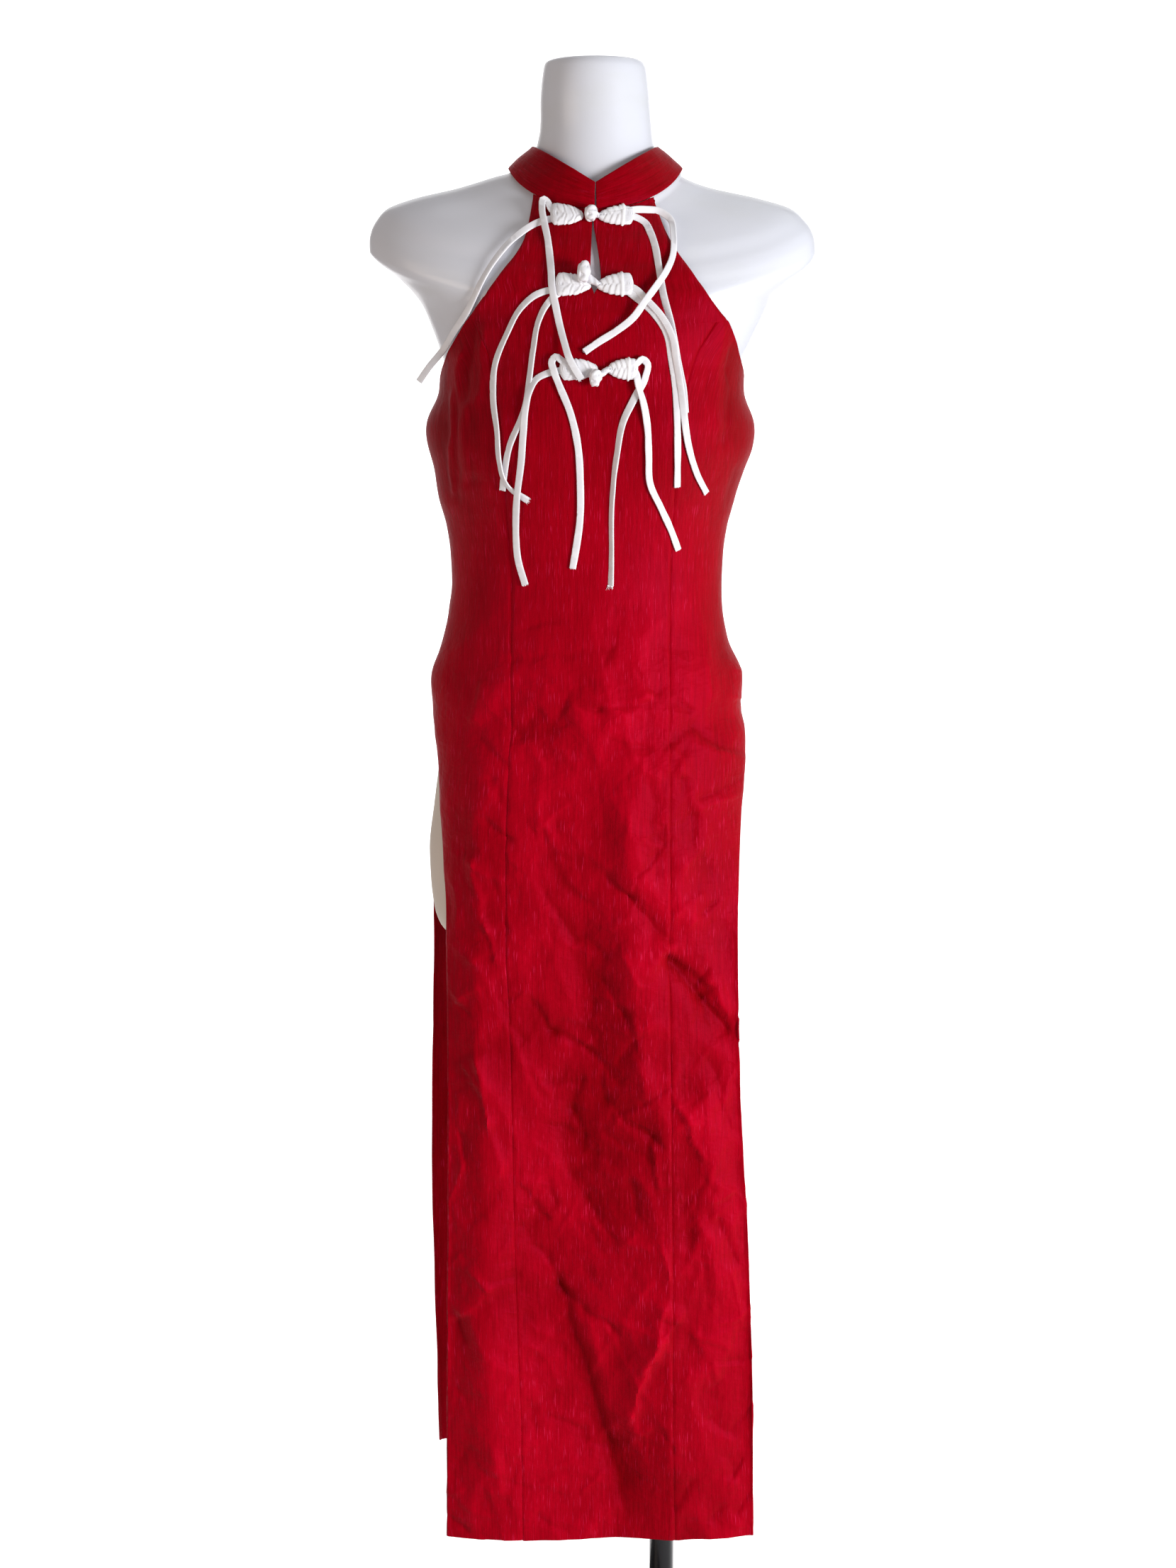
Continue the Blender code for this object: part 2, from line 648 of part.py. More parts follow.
# Each tie's route from its frog: x, height, and lift above the front's face, in millimetres. Where one
# crosses another or a frog, the upper one is lifted over it.
TIES = {
    "tie_01": [
        (-34.6, 1396.4, 2.2), (-37.0, 1384.0, 4.4), (-33.6, 1368.0, 1.6),
        (-31.7, 1352.9, 0.6), (-29.8, 1334.9, 2.2), (-29.0, 1323.0, 4.6), (-26.2, 1309.4, 1.8),
        (-22.6, 1293.5, 0.8), (-18.3, 1278.8, 4.0), (-14.8, 1267.0, 7.6), (-9.4, 1255.9, 7.8),
        (-4.6, 1248.3, 7.4),
    ],
    "tie_02": [
        (-33.0, 1381.0, 0.5), (-42.2, 1379.7, 0.5), (-59.6, 1368.2, 0.4), (-80.0, 1346.0, 0.0),
        (-89.5, 1331.7, -1.0), (-101.4, 1309.4, -1.4), (-112.6, 1291.8, -0.6),
    ],
    "tie_03": [
        (42.4, 1390.4, 1.6), (61.4, 1389.2, 1.0), (71.2, 1384.6, 0.8), (74.3, 1368.3, 1.0),
        (72.8, 1350.6, 2.4), (67.2, 1337.3, 4.2), (58.0, 1323.0, 5.6), (48.4, 1311.7, 7.8),
        (38.8, 1300.5, 5.6), (24.5, 1288.8, 1.6), (10.2, 1280.5, 0.8), (-2.0, 1272.6, 1.8),
    ],
    "tie_04": [
        (42.6, 1383.6, 0.6), (49.6, 1379.0, 0.6), (57.3, 1363.9, 0.6), (61.3, 1341.6, 0.6),
        (64.7, 1319.6, 0.6), (71.3, 1293.6, 0.6), (75.9, 1267.1, 0.6), (80.5, 1241.1, 0.6),
        (82.3, 1221.5, 0.6),
    ],
    "tie_05": [
        (-29.6, 1321.6, 0.6), (-41.8, 1320.0, 0.6), (-55.0, 1309.0, 0.6), (-67.1, 1287.2, 0.6),
        (-76.3, 1263.0, 0.6), (-78.0, 1232.2, 0.6), (-74.9, 1206.2, 0.6), (-73.3, 1185.3, 2.4),
        (-69.3, 1169.6, 4.2), (-64.1, 1159.7, 1.2), (-57.5, 1154.9, 0.4), (-50.2, 1150.1, 0.4),
    ],
    "tie_06": [
        (-29.6, 1315.0, 0.6), (-34.5, 1308.9, 0.6), (-40.5, 1297.7, 0.6), (-44.7, 1275.9, 0.6),
        (-48.3, 1250.0, 0.6), (-52.5, 1225.8, 0.6), (-65.3, 1194.9, 0.6), (-70.0, 1171.3, 0.6),
        (-71.5, 1159.0, 0.6),
    ],
    "tie_07": [
        (40.6, 1316.4, 0.6), (46.5, 1312.6, 0.6), (55.7, 1305.0, 0.6), (65.9, 1290.0, 0.6),
        (70.8, 1267.1, 0.6), (74.4, 1241.1, 0.6), (75.6, 1218.1, 0.6), (76.3, 1197.3, 0.6),
        (76.8, 1161.9, 0.6),
    ],
    "tie_08": [
        (43.0, 1321.8, 2.2), (50.2, 1313.5, 3.9), (62.2, 1301.8, 4.3), (70.6, 1284.7, 4.4),
        (73.7, 1264.1, 4.3), (77.3, 1241.1, 4.3), (80.4, 1218.1, 3.6), (83.6, 1201.4, 1.6),
        (92.3, 1174.5, 0.6), (101.9, 1155.5, 0.6),
    ],
    "tie_09": [
        (-25.4, 1268.0, 1.0), (-28.6, 1264.5, 2.6), (-27.4, 1256.0, 4.8), (-23.4, 1244.7, 2.0),
        (-14.8, 1223.5, 0.6), (-8.3, 1197.4, 0.6), (-5.9, 1166.1, 0.6), (-6.0, 1132.5, 0.6),
        (-9.7, 1104.8, 0.6), (-12.2, 1090.0, 0.6),
    ],
    "tie_10": [
        (-25.0, 1256.4, 0.6), (-33.0, 1254.6, 0.6), (-41.7, 1250.0, 1.4), (-48.2, 1238.2, 4.2),
        (-51.2, 1225.3, 4.4), (-53.7, 1206.4, 1.8), (-55.8, 1182.4, 1.6), (-58.6, 1155.1, 4.4),
        (-60.2, 1133.3, 1.6), (-60.5, 1120.2, 0.6), (-58.9, 1097.2, 0.6), (-52.8, 1074.5, 0.6),
    ],
    "tie_11": [
        (44.6, 1264.6, 1.4), (49.6, 1265.0, 1.6), (49.4, 1251.7, 0.6), (40.8, 1234.7, 0.4),
        (31.2, 1214.6, 0.6), (25.9, 1188.5, 0.6), (21.9, 1155.1, 0.6), (20.8, 1127.6, 0.6),
        (20.9, 1097.9, 0.6), (20.3, 1074.5, 0.6),
    ],
    "tie_12": [
        (37.8, 1248.6, 1.0), (44.2, 1238.2, 4.6), (49.0, 1225.9, 2.6), (51.5, 1212.3, 0.8),
        (52.9, 1188.4, 0.6), (53.8, 1166.0, 0.6), (63.4, 1143.0, 0.6), (71.8, 1123.5, 0.6),
        (78.3, 1105.2, 0.6),
    ],
}
# The one tie that hangs past the form's shoulder ends in the air: x, y and height.
HANGING_ENDS = {"tie_02": [(-125.0, -60.0, 1274.6), (-136.8, -60.0, 1260.6), (-145.6, -59.0, 1248.4)]}


def ties(material):
    for name, route in TIES.items():
        x, z, lift = np.array(route).T * MM
        points = [*on_front(x, z, lift + TIE_RADIUS), *(np.array(HANGING_ENDS.get(name, [])) * MM)]
        path = smooth_path(points, TIE_STEP)
        curve = bpy.data.curves.new(name, "CURVE")
        curve.dimensions = "3D"
        curve.bevel_depth = TIE_RADIUS
        curve.bevel_resolution = 2
        curve.use_fill_caps = True
        spline = curve.splines.new("POLY")
        spline.points.add(len(path) - 1)
        for point, place in zip(spline.points, path):
            point.co = (*place, 1)
        curve.materials.append(material)
        bpy.context.scene.collection.objects.link(bpy.data.objects.new(name, curve))


def principled(name, colour, roughness, metallic=0.0):
    material = bpy.data.materials.new(name)
    material.use_nodes = True
    material.diffuse_color = (*colour, 1)
    shader = material.node_tree.nodes["Principled BSDF"]
    shader.inputs["Base Color"].default_value = (*colour, 1)
    shader.inputs["Roughness"].default_value = roughness
    shader.inputs["Metallic"].default_value = metallic
    return material


def main():
    for obj in list(bpy.data.objects):
        bpy.data.objects.remove(obj, do_unlink=True)
    crimson = principled("crimson_crepe", (0.42, 0.006, 0.016), 0.75)
    satin = principled("white_satin", (0.80, 0.79, 0.78), 0.4)
    shell = principled("form_shell", (0.78, 0.78, 0.80), 0.25)
    black = principled("black_paint", (0.01, 0.01, 0.01), 0.25)
    form_torso(shell)
    stand(black)
    front_centre(crimson)
    front_sides(crimson)
    backs(crimson)
    collar(crimson)
    frogs(satin)
    ties(satin)


if __name__ == "__main__":
    main()
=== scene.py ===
"""The looks of a long crimson cheongsam on its dress form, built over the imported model.

The dress faces -Y and +Z is up. Tables are in millimetres, everything else is in metres. An angle round
the body is 0 at the front, a quarter turn at +X and half a turn at the back.
"""

import math
from functools import cache

import bpy
import numpy as np
from bpy.props import FloatProperty, FloatVectorProperty, IntProperty, PointerProperty
from bpy.types import Operator, Panel, PropertyGroup
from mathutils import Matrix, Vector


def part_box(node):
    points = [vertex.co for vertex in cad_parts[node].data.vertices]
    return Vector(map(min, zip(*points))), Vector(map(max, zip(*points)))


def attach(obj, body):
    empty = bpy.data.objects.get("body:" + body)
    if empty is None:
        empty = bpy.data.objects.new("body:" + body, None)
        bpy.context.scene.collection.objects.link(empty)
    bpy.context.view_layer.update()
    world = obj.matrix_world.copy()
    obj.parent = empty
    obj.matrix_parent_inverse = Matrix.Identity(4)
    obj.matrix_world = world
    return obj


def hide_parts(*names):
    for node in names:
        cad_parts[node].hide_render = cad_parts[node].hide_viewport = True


bl_info = {
    "name": "Cheongsam on a Dress Form",
    "version": (1, 0, 0),
    "blender": (4, 5, 0),
    "location": "3D View > Sidebar > Cheongsam",
    "description": "Builds the dress with its frogs and ties, the dress form, its stand and a studio",
    "category": "Add Mesh",
}

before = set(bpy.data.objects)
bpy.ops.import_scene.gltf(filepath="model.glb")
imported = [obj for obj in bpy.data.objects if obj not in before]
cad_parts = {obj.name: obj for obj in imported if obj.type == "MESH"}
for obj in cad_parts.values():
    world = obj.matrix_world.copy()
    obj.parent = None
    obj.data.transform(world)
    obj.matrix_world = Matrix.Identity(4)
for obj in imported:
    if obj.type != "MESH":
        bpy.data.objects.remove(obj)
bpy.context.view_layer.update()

MM = 0.001
QUARTER = math.pi / 2
# Neighbouring panels lap by this much, so that no light shows through their seam.
SEAM_LAP = 0.0005
SIDE_TOP_LAP = 0.0014
# The cloth's inner face stands this far off the form.
CLEARANCE = 0.0025
HEM = 0.198
COLLAR_SEAM = 1.429
PANEL_TOP = COLLAR_SEAM - 0.0003
ARMHOLE_FOOT = 1.212
SIDE_TOP = 1.309
WAIST_TO_SKIRT = (0.985, 0.925)
SIDE_SEAM = QUARTER - 0.001
FORM_FULLNESS = 0.92
BUST = {"height": 1.207, "middle": 0.004, "spread": 0.080, "wide": 0.050, "tall": 0.058, "rise": 0.014}
# Columns of points in each half of the middle panel, in a side panel and in a back panel.
COLUMNS = {"middle": 36, "side": 44, "back": 46}
# Each panel is cut from its own place on the cloth, so that no two show the same threads.
PATCH_OF_CLOTH = {
    "front_side_left": 0.3, "front_side_right": 0.6, "back_right": 0.9, "back_left": 1.3, "collar": 1.7,
}
# The skirt's crumple begins at a height and is full this far below it.
CRUMPLE = {"from": 1.08, "over": 0.10}
CREST_ROUND = 0.0006
POLE_PLACE = (0.072, 0.0)
STAND_RIMS = {"stand_base": 0.0013, "stand_hub": 0.0035, "stand_flange": 0.0015, "stand_pole": 0.0004}


def eased(share):
    """Goes smoothly from 0 to 1 as the share does."""
    return share * share * (3 - 2 * share)


def on_curve(places, values, slopes, at):
    """Values read off the smooth curve that has these values and slopes at these places."""
    i = np.clip(np.searchsorted(places, at, side="right") - 1, 0, len(places) - 2)
    span = places[i + 1] - places[i]
    f = (at - places[i]) / span
    if values.ndim > 1:
        span, f = span[:, None], f[:, None]
    start = (1 + 2 * f) * (1 - f) ** 2 * values[i] + f * (1 - f) ** 2 * span * slopes[i]
    end = eased(f) * values[i + 1] - f * f * (1 - f) * span * slopes[i + 1]
    return start + end


class Sections:
    """Rows of named sizes by height, read anywhere on smooth curves that never overshoot a row."""

    def __init__(self, columns, rows):
        data = np.array(sorted(rows), float) * MM
        self.heights = data[:, 0]
        self.values = {name: data[:, i] for i, name in enumerate(columns)}

    def at(self, column, z):
        heights, values = self.heights, self.values[column]
        z = np.clip(z, heights[0], heights[-1])
        rises = np.diff(values) / np.diff(heights)
        before, after = rises[:-1], rises[1:]
        same_way = before * after > 0
        total = np.where(same_way, before + after, 1.0)
        inner = np.where(same_way, 2 * before * after / total, 0.0)
        slopes = np.concatenate([rises[:1], inner, rises[-1:]])
        return on_curve(heights, values, slopes, z)


# The form. A drop lowers the front or the back of a section below its sides.
FORM = Sections(
    ("z", "centre", "half", "front", "back", "front_drop", "back_drop"),
    [
        (1523.5, 7, 39.5, 43, 43, 0, 0),
        (1521.8, 6.5, 42.8, 46, 46, 0, 0),
        (1516, 7, 45.0, 49, 49, 0, 0),
        (1494, 7, 47.5, 51, 52, 0, 0),
        (1467, 8, 49.0, 53, 55, 3, 0),
        (1451.5, 7.5, 51.5, 56, 58, 14, -3),
        (1443.5, 7.5, 56.0, 60, 62, 24, -5),
        (1436, 7.5, 64.0, 65, 67, 31, -6),
        (1429, 7.3, 74.5, 69, 71, 36, -6),
        (1425.3, 1, 83.0, 71, 73, 39, -4),
        (1416.2, -2, 110.0, 77, 78, 43, 1),
        (1407.1, -0.5, 151.0, 83, 84, 45, 6),
        (1398, 2, 178.0, 87, 88, 45, 9),
        (1389, 3, 187.5, 90, 91, 44, 11),
        (1380, 4, 193.5, 94, 94, 42, 12),
        (1370.5, 4.5, 196.2, 97, 96, 39, 13),
        (1361.3, 5, 196.6, 99, 97, 36, 12),
        (1352.1, 7.0, 191.0, 102, 99, 33, 12),
        (1342.9, 8.8, 180.0, 104, 101, 29, 11),
        (1333.7, 8.5, 170.0, 106, 102, 25, 10),
        (1324.5, 8, 160.5, 108, 103, 21, 8),
        (1315.2, 8, 153.8, 109, 104, 17, 7),
        (1296.7, 7.5, 145.2, 112, 105, 10, 4),
        (1278.1, 6.5, 137.5, 114, 105, 4, 2),
        (1259.5, 5, 131.0, 115, 104, 1, 0),
        (1241, 4, 131.0, 116, 102, 0, 0),
        (1209, 3, 136.5, 117, 98, 0, 0),
        (1192, 3, 137.5, 115, 96, 0, 0),
        (1172, 2, 134.5, 110, 93, 0, 0),
        (1146.5, 0, 129.0, 103, 89, 0, 0),
        (1121, 0, 122.0, 97, 86, 0, 0),
        (1096, 0, 118.6, 92, 84, 0, 0),
        (1070, 0, 117.6, 90, 84, 0, 0),
        (1044, -1, 119.8, 91, 87, 0, 0),
        (1019, -1, 124.5, 94, 92, 0, 0),
        (993, 0, 130.5, 97, 100, 0, 0),
        (967, 0, 135.0, 99, 108, 0, 0),
        (940, 0.5, 135.0, 100, 114, 0, 0),
        (914, 1, 135.5, 100, 119, 0, 0),
        (870, -1, 138.5, 98, 122, 0, 0),
        (826, -3, 141.5, 94, 120, 0, 0),
        (796, -3, 140.5, 90, 113, 0, 0),
        (771, -3, 137.5, 85, 104, 0, 0),
        (756, -3, 132.5, 79, 95, 0, 0),
        (748, -3, 125.0, 73, 88, 0, 0),
        (745, -3, 116.0, 67, 81, 0, 0),
    ],
)
# The skirt's two sheets, each from left to right and deepest at its middle.
SHEET = ("z", "left", "right", "middle", "edge", "bow")
FRONT_SKIRT = Sections(
    SHEET,
    [
        (1000, -137.5, 137.5, 99, 0, 920),
        (967, -138.5, 138.5, 102.5, 0, 920),
        (955, -138.5, 139.5, 103.5, 0, 920),
        (940, -135.5, 142.0, 104, 14, 940),
        (915, -132.5, 141.8, 104, 29, 1000),
        (890, -130.5, 140.0, 104.5, 41, 1100),
        (868, -129.0, 137.6, 105, 48, 1200),
        (821, -126.2, 135.7, 105.5, 60, 1400),
        (772, -123.9, 134.4, 105, 74, 1700),
        (697, -123.5, 135.1, 104.5, 84, 1900),
        (594, -124.0, 138.1, 104, 90, 2000),
        (488, -124.8, 145.0, 105, 93, 2000),
        (434, -126.0, 147.4, 106, 94, 2000),
        (326, -126.9, 151.1, 108, 97, 2000),
        (198, -128.0, 152.6, 110, 100, 2000),
    ],
)
BACK_SKIRT = Sections(
    SHEET,
    [
        (1000, -137.5, 137.5, 101, 0, 920),
        (967, -138.5, 138.5, 111, 0, 920),
        (955, -138.5, 139.5, 114, 0, 920),
        (940, -137.0, 139.5, 119, 16, 950),
        (915, -134.0, 139.0, 124, 37, 1050),
        (868, -136.5, 139.0, 127, 46, 1150),
        (821, -141.5, 139.5, 126.5, 50, 1200),
        (772, -144.0, 139.5, 123, 62, 1300),
        (735, -144.8, 139.5, 120, 76, 1500),
        (650, -147.6, 140.5, 116, 88, 1800),
        (478, -151.2, 145.5, 114, 96, 2000),
        (330, -148.9, 150.0, 114, 100, 2000),
        (198, -146.5, 152.0, 115, 104, 2000),
    ],
)
ARMHOLE = Sections(
    ("z", "left", "right"),
    [
        (1415, -46, 54),
        (1395, -48, 60),
        (1368, -53.5, 70.5),
        (1332, -78.5, 95),
        (1296, -105.5, 120.5),
        (1259.5, -125.5, 136.0),
        (1230, -134.5, 142.0),
        (1190, -150, 157),
    ],
)
PRINCESS_SEAM = Sections(
    ("z", "left", "right"),
    [
        (1306, -98.5, 113.0),
        (1287, -89.5, 101.5),
        (1268, -81.6, 91.5),
        (1220, -74.0, 80.0),
        (1155, -70.0, 75.5),
        (1072, -65.0, 72.5),
        (949, -66.0, 72.0),
        (828, -70.0, 72.5),
        (746, -71.0, 73.0),
        (673, -68.5, 74.0),
        (448, -65.0, 77.0),
        (305, -60.0, 78.0),
        (194, -58.5, 81.0),
    ],
)
KEYHOLE = Sections(
    ("z", "middle", "half"),
    [
        (1410, 4.8, 0.35),
        (1380, 5.2, 0.7),
        (1362, 6.2, 2.4),
        (1345, 7.1, 4.0),
        (1334, 7.3, 4.6),
        (1327, 6.8, 3.2),
        (1320, 6.2, 0),
    ],
)

# Folds: a soft ridge, or a valley where the height is negative, along a line. The solids have them too, four
# of those in front a little differently.
FOLD = ("from_x", "from_z", "to_x", "to_z", "width", "height")
FRONT_FOLDS = [
    (-104, 1270, -96, 1175, 12, 2.2), (114, 1300, 121, 1215, 12, 2.2), (-10, 972, 78, 962, 12, 1.6),
    (4, 900, 4, 450, 26, -3.0), (-37, 844, -7, 795, 14, -2.0), (18, 814, 56, 771, 14, -2.2),
    (76, 737, 127, 675, 12, -3.0), (106, 625, 116, 452, 18, 3.4), (-100, 560, -96, 300, 20, 1.0),
    (-32, 395, 27, 249, 20, -1.5), (67, 404, 38, 317, 18, 1.6),
]
# The skirt's front hangs in broad planes that meet on a ridge, a wandering valley and a second ridge.
PLANES = Sections(
    ("z", "ridge", "bend", "valley", "second"),
    [
        (930, -88, -46, -3, 42), (820, -92, -46, -4, 38), (740, -94, -46, -5, 38),
        (650, -95, -48, -10, 48), (582, -93, -50, -19, 68), (548, -91, -50, -23, 74),
        (520, -90, -48, -15, 77), (457, -88, -56, -38, 77), (387, -87, -50, -27, 77),
        (337, -86, -44, -3, 78), (284, -84, -40, 13, 79), (255, -84, -38, 21, 80),
        (198, -84, -36, 26, 81),
    ],
)
PLANE_LIFTS = Sections(
    ("z", "left", "ridge", "bend", "valley", "second", "right"),
    [
        (950, 0, 0, 0, 0, 0, 0), (870, 0, 10, -1, -4, 5, 0), (760, -4, 10, -3, -8, 5, -4),
        (640, -5, 9, -7, -13, 6, -6), (520, -5, 7, -10, -17, 7, -6), (320, -5, 5, -8.5, -17, 7, -6),
        (198, -2, 2, -3, -7, 3, -2),
    ],
)
BACK_FOLDS = [
    (-62, 760, -80, 330, 24, 3.6), (58, 730, 84, 260, 26, 4.2), (2, 640, 14, 220, 24, -3.2),
    (-120, 690, -70, 610, 16, -3.0),
]
FRONT_CREASES = [
    (-62, 1009, 16, 1019, 4, -0.7), (-74, 964, -58, 946, 3.5, -0.9), (-43, 966, -27, 948, 4, -1.1),
    (-9, 974, 11, 968, 3.5, -1.5), (11, 968, 53, 972, 4, -1.1), (45, 996, 59, 980, 3.5, -1),
    (80, 972, 88, 966, 3, -1.1), (97, 946, 136, 920, 4, -1.7), (22, 943, 49, 933, 4, -1),
    (-55, 940, -19, 952, 4, -0.9), (-88, 938, -74, 920, 4, -0.9), (101, 886, 135, 896, 3.5, -1),
    (101, 877, 131, 885, 3.5, 1), (73, 920, 81, 896, 3.5, -0.8), (-84, 868, -69, 852, 4, -1.1),
    (-80, 904, -69, 880, 3.5, -0.9), (-39, 862, -31, 840, 5, -1.2), (-31, 840, -7, 829, 4, -0.9),
    (-35, 836, -7, 801, 5, -1.3), (-37, 801, -11, 764, 5, -1.4), (18, 819, 36, 799, 5, -1.6),
    (36, 799, 72, 762, 5, -1.8), (-97, 827, -87, 770, 5, 1.6), (-87, 770, -81, 744, 4, 1.2),
    (75, 744, 109, 716, 4.5, -1.6), (75, 739, 102, 708, 4, -1.6), (102, 708, 127, 678, 4, -1.7),
    (108, 719, 126, 690, 4, 1.5), (-46, 702, -31, 677, 6, -1.8), (-31, 677, 4, 657, 4.5, -2),
    (-16, 675, 4, 664, 4, 1), (14, 721, 31, 695, 5, -1.3), (31, 695, 47, 657, 6, -1.2),
    (-36, 631, -8, 631, 4, -0.9), (-8, 627, -14, 600, 6, -1.7), (-14, 600, -6, 581, 6, -1.5),
    (13, 636, 16, 611, 5, -1.2), (16, 611, 57, 581, 5, -1.5), (57, 581, 65, 573, 5, -1.2),
    (83, 608, 100, 562, 5, 1.9), (-34, 590, -6, 577, 4.5, -1.1), (-16, 541, 19, 490, 6, -1.8),
    (-60, 530, -40, 503, 5, -1.6), (-57, 499, -36, 454, 6, 1.2), (-36, 535, -32, 518, 4, -1),
    (57, 571, 64, 535, 5, 1.4), (41, 537, 47, 512, 6, -1.2), (109, 648, 119, 623, 5, -1.1),
    (104, 539, 94, 509, 5, -1.1), (-96, 648, -86, 594, 6, 1.6), (-86, 594, -76, 551, 6, 1.7),
    (-125, 516, -111, 551, 8, 1.4), (119, 501, 135, 467, 6, -1.3), (-55, 492, -23, 435, 8, -2),
    (-23, 435, 22, 290, 10, -2.6), (22, 290, 33, 226, 9, -1.6), (71, 419, 40, 320, 9, 2.6),
    (-27, 435, -2, 416, 5, -1.3), (-2, 416, 24, 403, 5, -1.1), (-2, 452, 9, 439, 5, -1),
    (-36, 315, -6, 301, 5, -1.2), (-86, 448, -65, 445, 5, -0.9), (-129, 221, -112, 207, 6, -1.2),
    (-45, 221, -23, 209, 5, -1), (-81, 278, -77, 249, 6, 1.3), (110, 367, 152, 367, 4, -0.7),
    (104, 466, 110, 425, 7, -1.3), (132, 452, 139, 405, 6, 1), (-110, 1236, -112, 1152, 6, -1.6),
    (-116, 1236, -118, 1158, 6, 1.5), (-124, 1212, -122, 1158, 5, -1.2), (-97, 1218, -99, 1164, 5, -0.9),
    (-95, 1298, -101, 1236, 5, -1.3), (-86, 1289, -91, 1236, 6, 1), (-106, 1271, -109, 1236, 5, 1.2),
    (120, 1271, 118, 1200, 7, -1), (111, 1295, 110, 1212, 7, 0.8), (-46, 1039, -27, 1041, 3.5, -0.6),
    (24, 1053, 39, 1052, 3.5, -0.6), (128, 1169, 123, 1145, 5, -1), (-80, 812, -72, 773, 4, -0.9),
    (-78, 722, -70, 683, 4, -0.9), (82, 903, 91, 875, 4, -0.9), (74, 944, 84, 923, 3.5, -0.9),
    (32, 920, 35, 843, 9, 0.9), (54, 913, 60, 824, 9, -0.8), (-42, 926, -40, 856, 9, 0.9),
]
BACK_CREASES = [
    (-70, 1085, 60, 1078, 6, -1.0), (-50, 1052, 78, 1060, 5, -1.1), (20, 1020, 96, 1032, 5, -0.9),
    (-96, 1015, -20, 1004, 5, -0.9), (-80, 930, -30, 880, 7, -1.4), (84, 925, 40, 868, 7, -1.3),
    (-100, 820, -64, 740, 7, 1.6), (104, 800, 70, 712, 8, 1.5), (-20, 620, 30, 540, 8, -1.5),
    (90, 600, 120, 500, 8, -1.4), (-110, 480, -60, 400, 8, 1.5), (30, 420, 70, 300, 9, -1.6),
]

# The collar's top edge: it dips by the notch in front and rises by the nape at the back.
COLLAR_TOP = {
    "z": 1.4495, "centre": 0.0073, "half": 0.0537, "front": 0.0665, "back": 0.0635,
    "notch": 0.034, "nape": 0.006,
}
COLLAR_OPENING = 0.0010
COLLAR_HEIGHT = 0.035

# Each frog's halves, from the knot's side to the outer end, its knot and where the knot's neck starts.
FROGS = {
    "top": {"z": 1385.6, "loop": (-2.8, -31), "braid": (9.4, 40), "knot": (3.7, 1386.2, 0), "tilt": 0.0,
            "neck": (10.5, 1385.8)},
    "middle": {"z": 1326.2, "loop": (3.6, -27), "braid": (8.4, 39.5), "knot": (-2.4, 1334.0, 4.0),
               "tilt": 0.03, "neck": (10.0, 1326.6)},
    "low": {"z": 1258.6, "loop": (9.6, -23), "braid": (17.6, 43), "knot": (7.4, 1250.6, 2.9), "tilt": -0.02,
            "neck": (18.6, 1258.6)},
}
FROG_SHARE = (0.0, 0.15, 0.35, 0.6, 0.82, 1.0)
FROG_SIZE = (0.42, 0.62, 0.86, 1.0, 1.06, 0.98)
FROG_HEIGHT = 0.0170
FROG_THICK = 0.0062
FROG_GAP = 0.0005
KNOT_SIZE = (0.0108, 0.0148, 0.0102)
# The turns of cord in a knot: how far each one's axis tips and leans, in degrees, and how far it lies off.
KNOT_TURNS = ((80, 20, 0.1), (30, -50, -0.25), (110, 75, 0.3), (60, 130, 0.0))

